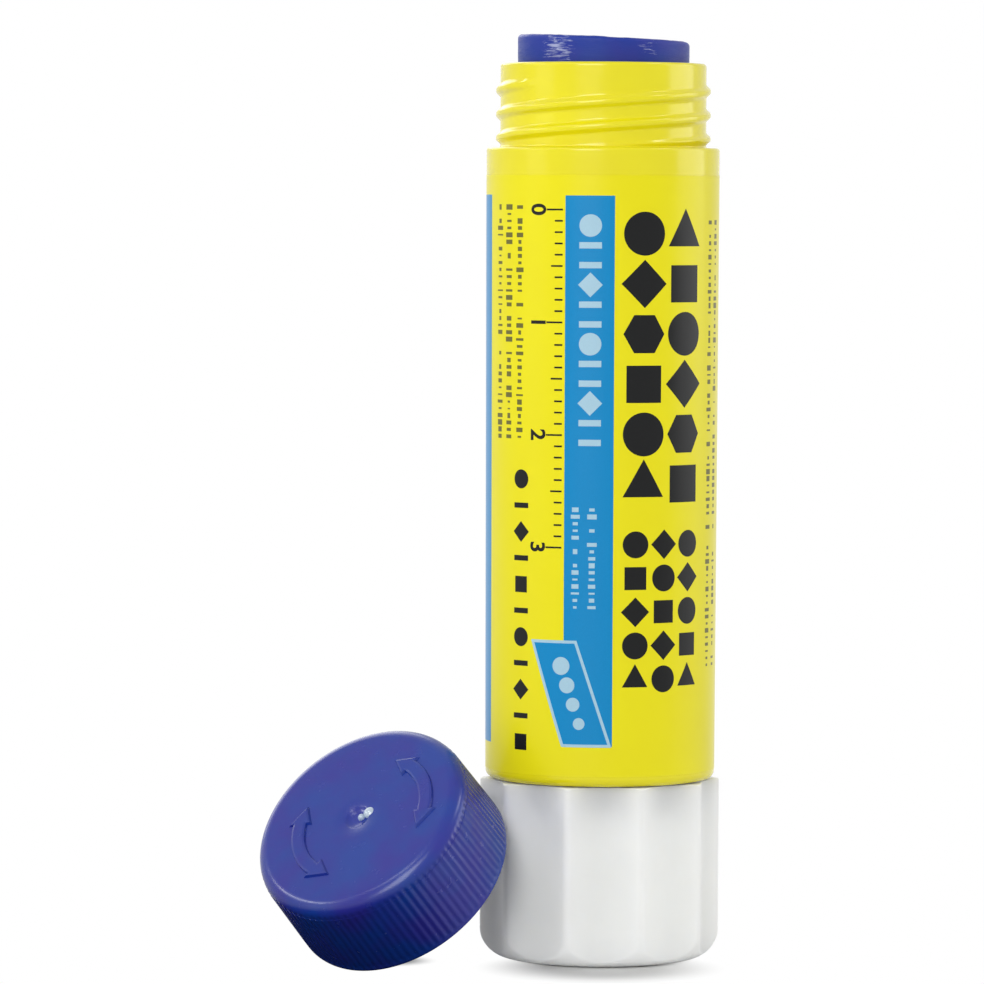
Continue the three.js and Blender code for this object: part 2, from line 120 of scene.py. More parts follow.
def turned(name, profile, columns, material, marks=None, shape=None):
    # The profile runs anticlockwise about the material, with the axis on its left.
    # Ends on the axis become poles, and any other profile closes on itself.
    # marks maps an attribute's name to the part of the profile that carries it.
    tidy = []
    for point in profile:
        if not tidy or math.dist(point, tidy[-1]) > touching:
            tidy.append(point)
    points = []
    rings = []
    for radius, height in tidy:
        if radius < touching:
            rings.append([len(points)] * columns)
            points.append((0, 0, height))
            continue
        ring = []
        for column in range(columns):
            angle = 2 * math.pi * column / columns
            r, z = shape(radius, height, angle) if shape else (radius, height)
            ring.append(len(points))
            points.append((r * math.cos(angle), r * math.sin(angle), z))
        rings.append(ring)
    closed = tidy[0][0] > touching or tidy[-1][0] > touching
    if closed:
        rings.append(rings[0])
    faces = []
    for low, high in zip(rings, rings[1:]):
        for column in range(columns):
            after = (column + 1) % columns
            corners = [low[column], low[after], high[after], high[column]]
            face = list(dict.fromkeys(corners))
            if len(face) > 2:
                faces.append(face)
    piece = newObject(name, points, faces, material)
    for mark, test in (marks or {}).items():
        attribute = piece.data.attributes.new(mark, "FLOAT", "POINT")
        values = []
        for ring, (radius, height) in zip(rings, tidy):
            values += [test(radius, height)] * len(set(ring))
        attribute.data.foreach_set("value", values)
    return piece


def newTree(name, sizes):
    tree = bpy.data.node_groups.new(name, "GeometryNodeTree")
    tree.interface.new_socket("Geometry", in_out="INPUT", socket_type="NodeSocketGeometry")
    for size in sizes:
        tree.interface.new_socket(size, in_out="INPUT", socket_type="NodeSocketFloat")
    tree.interface.new_socket("Material", in_out="INPUT", socket_type="NodeSocketMaterial")
    tree.interface.new_socket("Geometry", in_out="OUTPUT", socket_type="NodeSocketGeometry")
    return tree, addNode(tree, "NodeGroupInput").outputs


def endTree(tree, geometry, material):
    real = addNode(tree, "GeometryNodeRealizeInstances", inputs={0: geometry})
    painted = addNode(tree, "GeometryNodeSetMaterial", inputs={"Geometry": real, "Material": material})
    addNode(tree, "NodeGroupOutput", inputs={0: painted})


def pointsRound(tree):
    # Each point's place, its coordinates and its angle round the axis
    place = addNode(tree, "GeometryNodeInputPosition")
    xyz = addNode(tree, "ShaderNodeSeparateXYZ", inputs={0: place})
    angle = addNode(tree, "ShaderNodeMath", {"operation": "ARCTAN2"},
                    {0: xyz.outputs["Y"], 1: xyz.outputs["X"]})
    return place, xyz, angle


def moveOutwards(tree, size, place, lift):
    # Each point moves straight away from the axis.
    flat = addNode(tree, "ShaderNodeVectorMath", {"operation": "MULTIPLY"}, {0: place, 1: (1, 1, 0)})
    outwards = addNode(tree, "ShaderNodeVectorMath", {"operation": "NORMALIZE"}, {0: flat})
    offset = addNode(tree, "ShaderNodeVectorMath", {"operation": "SCALE"}, {0: outwards, "Scale": lift})
    moved = addNode(tree, "GeometryNodeSetPosition", inputs={"Geometry": size["Geometry"], "Offset": offset})
    endTree(tree, moved, size["Material"])


def shapeWith(piece, tree, values):
    material = piece.data.materials[0]
    modifier = piece.modifiers.new(tree.name, "NODES")
    modifier.node_group = tree
    for item in tree.interface.items_tree:
        if item.in_out == "INPUT" and item.name in values:
            modifier[item.identifier] = values[item.name]
        if item.in_out == "INPUT" and item.name == "Material":
            modifier[item.identifier] = material
    evaluated = piece.evaluated_get(bpy.context.evaluated_depsgraph_get())
    shaped = bpy.data.meshes.new_from_object(evaluated)
    piece.modifiers.remove(modifier)
    old = piece.data
    piece.data = shaped
    bpy.data.meshes.remove(old)
    shaped.materials.clear()
    shaped.materials.append(material)
    shaped.shade_smooth()


def sharpen(piece, degrees):
    # Edges steeper than this stay crisp in the smooth shading.
    shape = bmesh.new()
    shape.from_mesh(piece.data)
    for edge in shape.edges:
        if len(edge.link_faces) == 2 and edge.calc_face_angle(0) > math.radians(degrees):
            edge.smooth = False
    shape.to_mesh(piece.data)
    shape.free()


# Camera: level with the upper barrel, a little to the left, looking slightly down

camera = {
    "focal": 220.43,
    "sensor": 36,
    "place": (-9.874, -543.97, 68.461),
    "down": 2.7796,
    "roll": 0.2747,
    "nearest": 10,
    "farthest": 10000,
}


def makeCamera():
    data = bpy.data.cameras.new("camera")
    data.lens = camera["focal"]
    data.sensor_width = camera["sensor"]
    data.clip_start = camera["nearest"] * mm
    data.clip_end = camera["farthest"] * mm
    viewer = bpy.data.objects.new("camera", data)
    bpy.context.collection.objects.link(viewer)
    level = Matrix.Rotation(math.radians(90 - camera["down"]), 4, "X")
    roll = Matrix.Rotation(math.radians(camera["roll"]), 4, "Z")
    viewer.matrix_world = Matrix.Translation(Vector(camera["place"]) * mm) @ level @ roll
    bpy.context.scene.camera = viewer


makeCamera()
print("camera ready")


# Studio: pale floor that fades into white surroundings, with soft boxes in front and at the sides

studio = {
    "floor": "#D0D0CF",
    "floorBounce": 0.9,
    "shadeBounce": 0.02,  # painted shade: the floor gives back almost no light deep under the leaning cap
    "shadeCentre": (-30, -18),
    "shadeFrom": 15,  # distances from its centre between which the floor brightens
    "shadeTo": 25,
    # The next three fade the floor's shade to white: place, then where the fade starts and where it ends
    "knobShade": (0, -9, 4, 11.5),
    "capShade": (-19, -4.5, 1, 4.6),
    "mirrorShade": (0, 0, 45, 120),  # reflections keep the shade under the cap
    "surroundings": 0.27,
    "floorReach": 3000,
    "aim": (-3, 0, 38),
    "boxDistance": 1.20,  # this and the sizes of the boxes are in metres
    "boxes": [
        {"name": "front_box", "azimuth": -16, "elevation": 22, "size": (0.56, 0.66), "watts": 7.3},
        {"name": "left_high_box", "azimuth": -55, "elevation": 48, "size": (0.50, 0.12), "watts": 1.3},
        {"name": "right_high_box", "azimuth": 78, "elevation": 50, "size": (0.40, 0.12), "watts": 1.4},
        {"name": "left_box", "azimuth": -70, "elevation": 8, "size": (0.50, 0.50), "watts": 0.6},
        {"name": "left_strip", "azimuth": -88, "elevation": 28, "size": (0.60, 0.05), "watts": 2.6},
        {"name": "right_box", "azimuth": 98, "elevation": 15, "size": (0.90, 0.80), "watts": 5.1},
        {"name": "back_box", "azimuth": 205, "elevation": 30, "size": (0.80, 0.80), "watts": 3.5},
    ],
}


def seenDirectly(tree):
    # 1 where the camera, a reflection or a clear material sees the surface, 0 where it only lights others
    path = addNode(tree, "ShaderNodeLightPath")
    first = addNode(tree, "ShaderNodeMath", {"operation": "MAXIMUM"},
                    {0: path.outputs["Is Camera Ray"], 1: path.outputs["Is Glossy Ray"]})
    both = addNode(tree, "ShaderNodeMath", {"operation": "MAXIMUM"},
                   {0: first, 1: path.outputs["Is Transmission Ray"]})
    return both.outputs[0]


def makeStudio():
    world = bpy.data.worlds.new("surroundings")
    bpy.context.scene.world = world
    world.use_nodes = True
    tree = world.node_tree
    tree.nodes.clear()
    seen = seenDirectly(tree)
    soft = addNode(tree, "ShaderNodeBackground", inputs={0: (1, 1, 1, 1), 1: studio["surroundings"]})
    white = addNode(tree, "ShaderNodeBackground", inputs={0: (1, 1, 1, 1), 1: 1.0})
    mixed = addNode(tree, "ShaderNodeMixShader", inputs={0: seen, 1: soft, 2: white})
    addNode(tree, "ShaderNodeOutputWorld", inputs={0: mixed})

    material = bpy.data.materials.new("pale floor")
    material.use_nodes = True
    tree = material.node_tree
    tree.nodes.clear()
    seen = seenDirectly(tree)
    place = addNode(tree, "ShaderNodeTexCoord")
    fades = {}
    for name in ("knobShade", "capShade", "mirrorShade"):
        x, y, near, far = (length * mm for length in studio[name])
        away = addNode(tree, "ShaderNodeVectorMath", {"operation": "DISTANCE"},
                       {0: place.outputs["Object"], 1: (x, y, 0)})
        fades[name] = addNode(tree, "ShaderNodeMapRange", {"interpolation_type": "SMOOTHSTEP"},
                              {"Value": away.outputs["Value"], "From Min": near, "From Max": far})
    shown = addNode(tree, "ShaderNodeMath", {"operation": "MINIMUM"},
                    {0: fades["knobShade"], 1: fades["capShade"]})
    toCamera = addNode(tree, "ShaderNodeLightPath").outputs["Is Camera Ray"]
    fade = addNode(tree, "ShaderNodeMix", inputs={"Factor": toCamera, 2: fades["mirrorShade"], 3: shown})
    white = addNode(tree, "ShaderNodeMath", {"operation": "MULTIPLY"}, {0: fade, 1: seen})
    # Near the cap the floor's bounce is darkened: painted shade on the cap's underside and the knob beside
    # it
    centre = Vector((*studio["shadeCentre"], 0)) * mm
    fromCap = addNode(tree, "ShaderNodeVectorMath", {"operation": "DISTANCE"},
                      {0: place.outputs["Object"], 1: centre})
    giveBack = addNode(tree, "ShaderNodeMapRange", {"interpolation_type": "SMOOTHSTEP"},
                       {"Value": fromCap.outputs["Value"], "From Min": studio["shadeFrom"] * mm,
                        "From Max": studio["shadeTo"] * mm, "To Min": studio["shadeBounce"],
                        "To Max": studio["floorBounce"]})
    bounce = addNode(tree, "ShaderNodeBsdfDiffuse", inputs={0: giveBack})
    pale = addNode(tree, "ShaderNodeBsdfDiffuse", inputs={0: linearColour(studio["floor"])})
    shaded = addNode(tree, "ShaderNodeMixShader", inputs={0: toCamera, 1: bounce, 2: pale})
    glow = addNode(tree, "ShaderNodeEmission", inputs={0: (1, 1, 1, 1), 1: 1.0})
    mixed = addNode(tree, "ShaderNodeMixShader", inputs={0: white, 1: shaded, 2: glow})
    addNode(tree, "ShaderNodeOutputMaterial", inputs={0: mixed})
    reach = studio["floorReach"]
    corners = [(-reach, -reach, 0), (reach, -reach, 0), (reach, reach, 0), (-reach, reach, 0)]
    floor = newObject("floor", corners, [(0, 1, 2, 3)], material)

    aim = Vector(studio["aim"]) * mm
    for box in studio["boxes"]:
        data = bpy.data.lights.new(box["name"], "AREA")
        data.shape = "RECTANGLE"
        data.size, data.size_y = box["size"]
        data.energy = box["watts"]
        lamp = bpy.data.objects.new(box["name"], data)
        bpy.context.collection.objects.link(lamp)
        azimuth = math.radians(box["azimuth"])
        elevation = math.radians(box["elevation"])
        level = math.cos(elevation)
        way = Vector((math.sin(azimuth) * level, -math.cos(azimuth) * level, math.sin(elevation)))
        turn = way.to_track_quat("Z", "Y").to_matrix().to_4x4()
        lamp.matrix_world = Matrix.Translation(aim + way * studio["boxDistance"]) @ turn
    bpy.context.scene.view_settings.view_transform = "Standard"


makeStudio()
print("studio ready")


# Plastics, film, ink and glue

finish = {
    "barrelYellow": "#E5DA10",
    "barrelMottle": "#E3D70E",
    "filmYellow": "#E7DD12",
    "filmMottle": "#E6DB12",
    "knobWhite": "#EEEFED",
    "knobMottle": "#ECEDEB",
    "naturalWhite": "#ECECE6",
    "naturalMottle": "#E6E6DF",
    "capBlue": "#133791",
    "capPurple": "#27298C",
    # gate stubs: whitened by the tear, and paler still as a painted highlight of their glints
    "gatePaleAndGlint": "#C2D0DA",
    "gateBlueAndGlint": "#7F98BE",
    "glueBlue": "#283C94",
    "gluePurple": "#343B93",
    # pale glue of the scuffs, which in front also serves as a painted highlight
    "glueSmearAndSheen": "#A8AED2",
    "stripeBlue": "#0080BA",
    "inkBlack": "#0D0E0F",
    "inkOlive": "#66632A",
    "inkWhite": "#9FC1D2",
}
patterns = {  # how many bumps or spots there are to a millimetre
    "clouds": 0.22,  # 4.5 mm, left by the flow of the melt
    "patches": 0.8,  # 1.25 mm, where the tool's polish varies
    "grain": 5.0,  # 0.2 mm, coarser than the real one, so that it shows
    "specks": 9.0,  # 0.11 mm, the grain of the ink
    "glueClouds": 0.25,  # 4 mm
    "glueStreaks": 1.6,  # 0.2 mm high and 1.25 mm long once stretched
}
glueScuffsAndSheen = [  # places in millimetres where the glue is painted pale: rubbed scuffs all round, and the two in front are also a painted highlight where the left lamps glint
    {"place": (-4.2, -6.5, 82.0), "reach": 3.1, "strength": 1.0},
    {"place": (4.0, -6.6, 81.9), "reach": 2.4, "strength": 0.6},
    {"place": (5.5, 5.4, 81.8), "reach": 3.0, "strength": 0.8},
    {"place": (-6.5, 3.5, 82.4), "reach": 2.6, "strength": 0.7},
]


def mouldedPlastic(name, main, mottle, roughness, patchy, grain, softness=0.0, specular=0.5):
    # Injection-moulded polypropylene: satin, a little translucent, with the faint pull of the tool's surface
    material, tree, surface, place = newMaterial(name)
    cloud = addNode(tree, "ShaderNodeTexNoise",
                    inputs={"Vector": place, "Scale": patterns["clouds"], "Detail": 3.0})
    share = addNode(tree, "ShaderNodeMapRange",
                    inputs={"Value": cloud.outputs["Fac"], "From Min": 0.35, "From Max": 0.65})
    colour = addNode(tree, "ShaderNodeMix", {"data_type": "RGBA"},
                     {"Factor": share, 6: linearColour(main), 7: linearColour(mottle)})
    tree.links.new(colour.outputs[2], surface.inputs["Base Color"])
    patch = addNode(tree, "ShaderNodeTexNoise",
                    inputs={"Vector": place, "Scale": patterns["patches"], "Detail": 4.0})
    shine = addNode(tree, "ShaderNodeMapRange",
                    inputs={"Value": patch.outputs["Fac"], "From Min": 0.3, "From Max": 0.7,
                            "To Min": roughness - patchy, "To Max": roughness + patchy})
    tree.links.new(shine.outputs[0], surface.inputs["Roughness"])
    fine = addNode(tree, "ShaderNodeTexNoise",
                   inputs={"Vector": place, "Scale": patterns["grain"], "Detail": 3.0})
    bump = addNode(tree, "ShaderNodeBump",
                   inputs={"Strength": 1.0, "Distance": grain * mm, "Height": fine.outputs["Fac"]})
    tree.links.new(bump.outputs[0], surface.inputs["Normal"])
    surface.inputs["IOR"].default_value = 1.49
    surface.inputs["Specular IOR Level"].default_value = specular
    if softness:
        surface.inputs["Subsurface Weight"].default_value = softness
        surface.inputs["Subsurface Radius"].default_value = (1.0, 0.97, 0.93)
        surface.inputs["Subsurface Scale"].default_value = 4 * mm
    return material


def printedInk(name, colour, roughness):
    # Ink under the film's clear varnish: flat colour, a little lighter in specks, with the film's own gloss
    material, tree, surface, place = newMaterial(name)
    speck = addNode(tree, "ShaderNodeTexNoise",
                    inputs={"Vector": place, "Scale": patterns["specks"], "Detail": 2.0})
    lighter = tuple(min(1, c * 1.12 + 0.004) for c in linearColour(colour)[:3]) + (1,)
    tone = addNode(tree, "ShaderNodeMix", {"data_type": "RGBA"},
                   {"Factor": speck.outputs["Fac"], 6: linearColour(colour), 7: lighter})
    tree.links.new(tone.outputs[2], surface.inputs["Base Color"])
    surface.inputs["Roughness"].default_value = roughness
    surface.inputs["IOR"].default_value = 1.5
    surface.inputs["Specular IOR Level"].default_value = 0.2
    return material


def rubbedGlue(name):
    # Solid glue: waxy, rubbed along the paper, so that pale scuffs lie across it in fine level streaks; in
    # front these pale streaks are also a painted highlight, the glint of the left lamps
    material, tree, surface, place = newMaterial(name)
    cloud = addNode(tree, "ShaderNodeTexNoise",
                    inputs={"Vector": place, "Scale": patterns["glueClouds"], "Detail": 3.0})
    tint = addNode(tree, "ShaderNodeMapRange",
                   inputs={"Value": cloud.outputs["Fac"], "From Min": 0.4, "From Max": 0.65})
    blue = addNode(tree, "ShaderNodeMix", {"data_type": "RGBA"},
                   {"Factor": tint, 6: linearColour(finish["glueBlue"]),
                    7: linearColour(finish["gluePurple"])})
    stretched = addNode(tree, "ShaderNodeMapping",
                        inputs={0: place, "Rotation": (0, 0.12, 0), "Scale": (0.5, 0.5, 3.0)})
    streak = addNode(tree, "ShaderNodeTexNoise",
                     inputs={"Vector": stretched, "Scale": patterns["glueStreaks"], "Detail": 6.0,
                             "Roughness": 0.68, "Distortion": 0.5})
    amount = None
    for spot in glueScuffsAndSheen:
        away = addNode(tree, "ShaderNodeVectorMath", {"operation": "DISTANCE"}, {0: place, 1: spot["place"]})
        near = addNode(tree, "ShaderNodeMapRange", {"interpolation_type": "SMOOTHSTEP"},
                       {"Value": away.outputs["Value"], "From Min": spot["reach"], "From Max": 0.0,
                        "To Min": 0.0, "To Max": spot["strength"]})
        if amount is None:
            amount = near
        else:
            amount = addNode(tree, "ShaderNodeMath", {"operation": "MAXIMUM"}, {0: amount, 1: near})
    # The pale streaks are painted colour: scuffs, and in front a painted highlight
    threshold = addNode(tree, "ShaderNodeMath", {"operation": "MULTIPLY_ADD"},
                        {0: amount, 1: -0.34, 2: 0.74})
    soft = addNode(tree, "ShaderNodeMath", {"operation": "ADD"}, {0: threshold, 1: 0.16})
    scuffAndSheen = addNode(tree, "ShaderNodeMapRange",
                    inputs={"Value": streak.outputs["Fac"], "From Min": threshold, "From Max": soft,
                            "To Max": 0.85})
    colour = addNode(tree, "ShaderNodeMix", {"data_type": "RGBA"},
                     {"Factor": scuffAndSheen, 6: blue.outputs[2], 7: linearColour(finish["glueSmearAndSheen"])})
    tree.links.new(colour.outputs[2], surface.inputs["Base Color"])
    shine = addNode(tree, "ShaderNodeMapRange",
                    inputs={"Value": streak.outputs["Fac"], "From Min": 0.35, "From Max": 0.7,
                            "To Min": 0.3, "To Max": 0.5})
    tree.links.new(shine.outputs[0], surface.inputs["Roughness"])
    bump = addNode(tree, "ShaderNodeBump",
                   inputs={"Strength": 1.0, "Distance": 0.03 * mm, "Height": streak.outputs["Fac"]})
    tree.links.new(bump.outputs[0], surface.inputs["Normal"])
    surface.inputs["IOR"].default_value = 1.46
    surface.inputs["Specular IOR Level"].default_value = 0.15
    return material


yellowPlastic = mouldedPlastic("yellow polypropylene", finish["barrelYellow"], finish["barrelMottle"],
                               roughness=0.18, patchy=0.02, grain=0.002, specular=0.45)
filmMaterial = mouldedPlastic("printed film", finish["filmYellow"], finish["filmMottle"],
                              roughness=0.28, patchy=0.004, grain=0.0002, specular=0.25)
whitePlastic = mouldedPlastic("white polypropylene", finish["knobWhite"], finish["knobMottle"],
                              roughness=0.34, patchy=0.03, grain=0.001, softness=0.9)
naturalPlastic = mouldedPlastic("natural polypropylene", finish["naturalWhite"], finish["naturalMottle"],
                                roughness=0.45, patchy=0.04, grain=0.004, softness=0.15)
bluePlastic = mouldedPlastic("blue polypropylene", finish["capBlue"], finish["capPurple"],
                             roughness=0.25, patchy=0.03, grain=0.004, specular=0.42)
# Pale from the tear, and paler still as a painted highlight of the stubs' glints
gateGlintPlastic = mouldedPlastic("pale torn polypropylene with painted glint", finish["gatePaleAndGlint"], finish["gateBlueAndGlint"],
                             roughness=0.10, patchy=0.02, grain=0.006, specular=1.0)
blueGlue = rubbedGlue("blue glue")
stripeInk = printedInk("light blue ink", finish["stripeBlue"], roughness=0.28)
blackInk = printedInk("black ink", finish["inkBlack"], roughness=0.30)
fineInk = printedInk("thin black ink", finish["inkOlive"], roughness=0.30)
whiteInk = printedInk("white ink", finish["inkWhite"], roughness=0.30)
print("materials ready")


# Barrel: double wall, shoulder and threaded neck

barrelLow, barrelHigh = (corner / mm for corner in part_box("barrel"))
footZ = barrelLow.z
mouthZ = barrelHigh.z
barrel = {
    "columns": 288,
    "neckHeight": 7.58,
    "shoulderRadius": 10.5,
    "footRadius": 10.35,
    "footInset": 0.85,
    "footRise": 0.75,
    "shoulderEdge": 0.28,
    "shoulderFillet": 0.22,
    "neckRadius": 9.275,
    "neckEdge": 0.3,
    "boreRadius": 7.95,
    "tubeRadius": 8.75,
    "shellBore": 9.35,
    "web": 0.9,
    "floor": 1.2,
    "floorHole": 3.45,
    "grooveReach": 8.3,
    "grooveHalfWidth": 0.9,
    "grooveStop": 0.6,
    "grooveEdge": 0.01,
    "chamfer": 0.1,
    "closeRow": 0.1,  # a further row this near to an edge keeps the wall beside it level
    "labelLow": 0.95,
    "labelHigh": 2.48,
    "filmSeat": 0.06,
    "threadFadeFrom": 0.1,  # the thread comes out of the neck between this height over the shoulder
    "threadFadeTo": 0.6,  # and this one
}
thread = {
    "depth": 0.40,
    "lead": 4.3,
    "starts": 2,
    "crest": 0.1,
    "root": 0.64,
    "belowMouth": 1.83,
    "angle": 232.5,
    "runOut": 0.085,  # as a share of the lead
}
shoulderZ = mouthZ - barrel["neckHeight"]
labelLowZ = footZ + barrel["labelLow"]
labelHighZ = shoulderZ - barrel["labelHigh"]


def shellRadius(height):
    share = (height - footZ) / (shoulderZ - footZ)
    return barrel["footRadius"] + (barrel["shoulderRadius"] - barrel["footRadius"]) * share


def makeThreadTree():
    # Ridges run along a helix: each point of the wall moves out by how near it is to a ridge.
    tree, size = newTree("thread relief", ["Depth", "Lead", "Starts", "Top", "Angle", "Crest", "Root",
                                           "Run Out"])
    place, xyz, angle = pointsRound(tree)
    offAngle = addNode(tree, "ShaderNodeMath", {"operation": "SUBTRACT"}, {0: angle, 1: size["Angle"]})
    turns = addNode(tree, "ShaderNodeMath", {"operation": "DIVIDE"}, {0: offAngle, 1: 2 * math.pi})
    below = addNode(tree, "ShaderNodeMath", {"operation": "SUBTRACT"}, {0: xyz.outputs["Z"], 1: size["Top"]})
    pitches = addNode(tree, "ShaderNodeMath", {"operation": "DIVIDE"}, {0: below, 1: size["Lead"]})
    phase = addNode(tree, "ShaderNodeMath", {"operation": "SUBTRACT"}, {0: pitches, 1: turns})
    ridges = addNode(tree, "ShaderNodeMath", {"operation": "MULTIPLY"}, {0: phase, 1: size["Starts"]})
    nearest = addNode(tree, "ShaderNodeMath", {"operation": "WRAP"}, {0: ridges, 1: 0.5, 2: -0.5})
    pitch = addNode(tree, "ShaderNodeMath", {"operation": "DIVIDE"}, {0: size["Lead"], 1: size["Starts"]})
    away = addNode(tree, "ShaderNodeMath", {"operation": "MULTIPLY"}, {0: nearest, 1: pitch})
    apart = addNode(tree, "ShaderNodeMath", {"operation": "ABSOLUTE"}, {0: away})
    bump = addNode(tree, "ShaderNodeMapRange", {"interpolation_type": "SMOOTHSTEP"},
                   {"Value": apart, "From Min": size["Crest"], "From Max": size["Root"],
                    "To Min": 1.0, "To Max": 0.0})
    ridgeBelow = addNode(tree, "ShaderNodeMath", {"operation": "SUBTRACT"}, {0: away, 1: below})
    fade = addNode(tree, "ShaderNodeMapRange", {"interpolation_type": "SMOOTHSTEP"},
                   {"Value": ridgeBelow, "From Min": 0.0, "From Max": size["Run Out"],
                    "To Min": 0.0, "To Max": 1.0})
    wall = addNode(tree, "GeometryNodeInputNamedAttribute", {"data_type": "FLOAT"}, {"Name": "threadWall"})
    part = addNode(tree, "ShaderNodeMath", {"operation": "MULTIPLY"}, {0: bump, 1: fade})
    share = addNode(tree, "ShaderNodeMath", {"operation": "MULTIPLY"}, {0: part, 1: wall})
    lift = addNode(tree, "ShaderNodeMath", {"operation": "MULTIPLY"}, {0: share, 1: size["Depth"]})
    moveOutwards(tree, size, place, lift)
    return tree


threadTree = makeThreadTree()


def threadSizes(depth, top, angle, crest, root, runOut):
    return {
        "Depth": depth * mm,
        "Lead": thread["lead"] * mm,
        "Starts": float(thread["starts"]),
        "Top": top * mm,
        "Angle": math.radians(angle),
        "Crest": crest * mm,
        "Root": root * mm,
        "Run Out": runOut * thread["lead"] * mm,
    }


def makeBarrel():
    b = barrel
    seat = b["filmSeat"]
    foot = b["footRadius"]
    footInset = b["footInset"]
    footRise = b["footRise"]
    edge = b["shoulderEdge"]
    fillet = b["shoulderFillet"]
    neckEdge = b["neckEdge"]
    chamfer = b["chamfer"]
    floorTop = footZ + b["floor"]
    webLow = shoulderZ - b["web"]
    grooveTop = shoulderZ - b["grooveStop"]
    radiusLow = shellRadius(labelLowZ)
    radiusHigh = shellRadius(labelHighZ)
    profile = [(b["floorHole"], footZ), (b["tubeRadius"] - chamfer, footZ)]
    profile += [(b["tubeRadius"], footZ + chamfer)]
    profile += rows(b["tubeRadius"], footZ + chamfer, webLow, spacing=8)
    profile += rows(b["shellBore"], webLow, footZ + chamfer, spacing=8)
    profile += [(b["shellBore"] + chamfer, footZ)]
    profile += arc(foot - footInset, footZ + footRise, footInset, footRise, -90, 0, steps=12)
    profile += [(radiusLow, labelLowZ - b["closeRow"]), (radiusLow, labelLowZ)]
    profile += rows(radiusLow - seat, labelLowZ, labelHighZ, spacing=6, endRadius=radiusHigh - seat)
    profile += [(radiusHigh, labelHighZ), (radiusHigh, labelHighZ + b["closeRow"])]
    profile += [(b["shoulderRadius"], shoulderZ - edge - b["closeRow"])]
    profile += arc(b["shoulderRadius"] - edge, shoulderZ - edge, edge, edge, 0, 90, steps=8)
    profile += arc(b["neckRadius"] + fillet, shoulderZ + fillet, fillet, fillet, 270, 180, steps=6)
    profile += rows(b["neckRadius"], shoulderZ + fillet, mouthZ - neckEdge, spacing=0.1)
    profile += arc(b["neckRadius"] - neckEdge, mouthZ - neckEdge, neckEdge, neckEdge, 0, 90, steps=8)
    profile += arc(b["boreRadius"] + neckEdge, mouthZ - neckEdge, neckEdge, neckEdge, 90, 180, steps=8)
    profile += [(b["boreRadius"], grooveTop + b["grooveEdge"])]
    profile += rows(b["boreRadius"], grooveTop, floorTop, spacing=8)
    profile += [(b["floorHole"], floorTop)]
    halfGroove = math.asin(b["grooveHalfWidth"] / b["boreRadius"])

    def grooved(radius, height, angle):
        inBore = abs(radius - b["boreRadius"]) < touching and floorTop <= height <= grooveTop
        toSide = abs(math.remainder(angle, math.pi))
        return (b["grooveReach"] if inBore and toSide < halfGroove else radius), height

    def onNeck(radius, height):
        if radius < b["neckRadius"] - neckEdge - touching:
            return 0.0
        fade = b["threadFadeTo"] - b["threadFadeFrom"]
        return min(1.0, max(0.0, (height - shoulderZ - b["threadFadeFrom"]) / fade))

    piece = turned("barrel_moulding", profile, b["columns"], yellowPlastic, {"threadWall": onNeck}, grooved)
    top = mouthZ - thread["belowMouth"]
    shapeWith(piece, threadTree, threadSizes(thread["depth"], top, thread["angle"], thread["crest"],
                                             thread["root"], thread["runOut"]))
    sharpen(piece, degrees=50)
    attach(piece, "barrel")
    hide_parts("barrel")


makeBarrel()
print("barrel ready")


# Label: film in the shell's shallow seat

label = {"columns": 240, "endGap": 0.004, "proud": 0.012, "behind": 0.01}


def makeLabel():
    low = labelLowZ + label["endGap"]
    high = labelHighZ - label["endGap"]
    proud = label["proud"]
    inner = barrel["filmSeat"] - label["behind"]
    profile = [(shellRadius(low) - inner, low)]
    profile += rows(shellRadius(low) + proud, low, high, spacing=3, endRadius=shellRadius(high) + proud)
    profile += [(shellRadius(high) - inner, high)]
    piece = turned("label_film", profile, label["columns"], filmMaterial)
    sharpen(piece, degrees=50)
    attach(piece, "barrel")
    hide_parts("barrel_label")


makeLabel()
print("label ready")


# Print: bold shapes, a short ruler and fine marks, laid out flat and then wrapped round the film.
# Places are in millimetres: along the film from its front line, and up from the table.

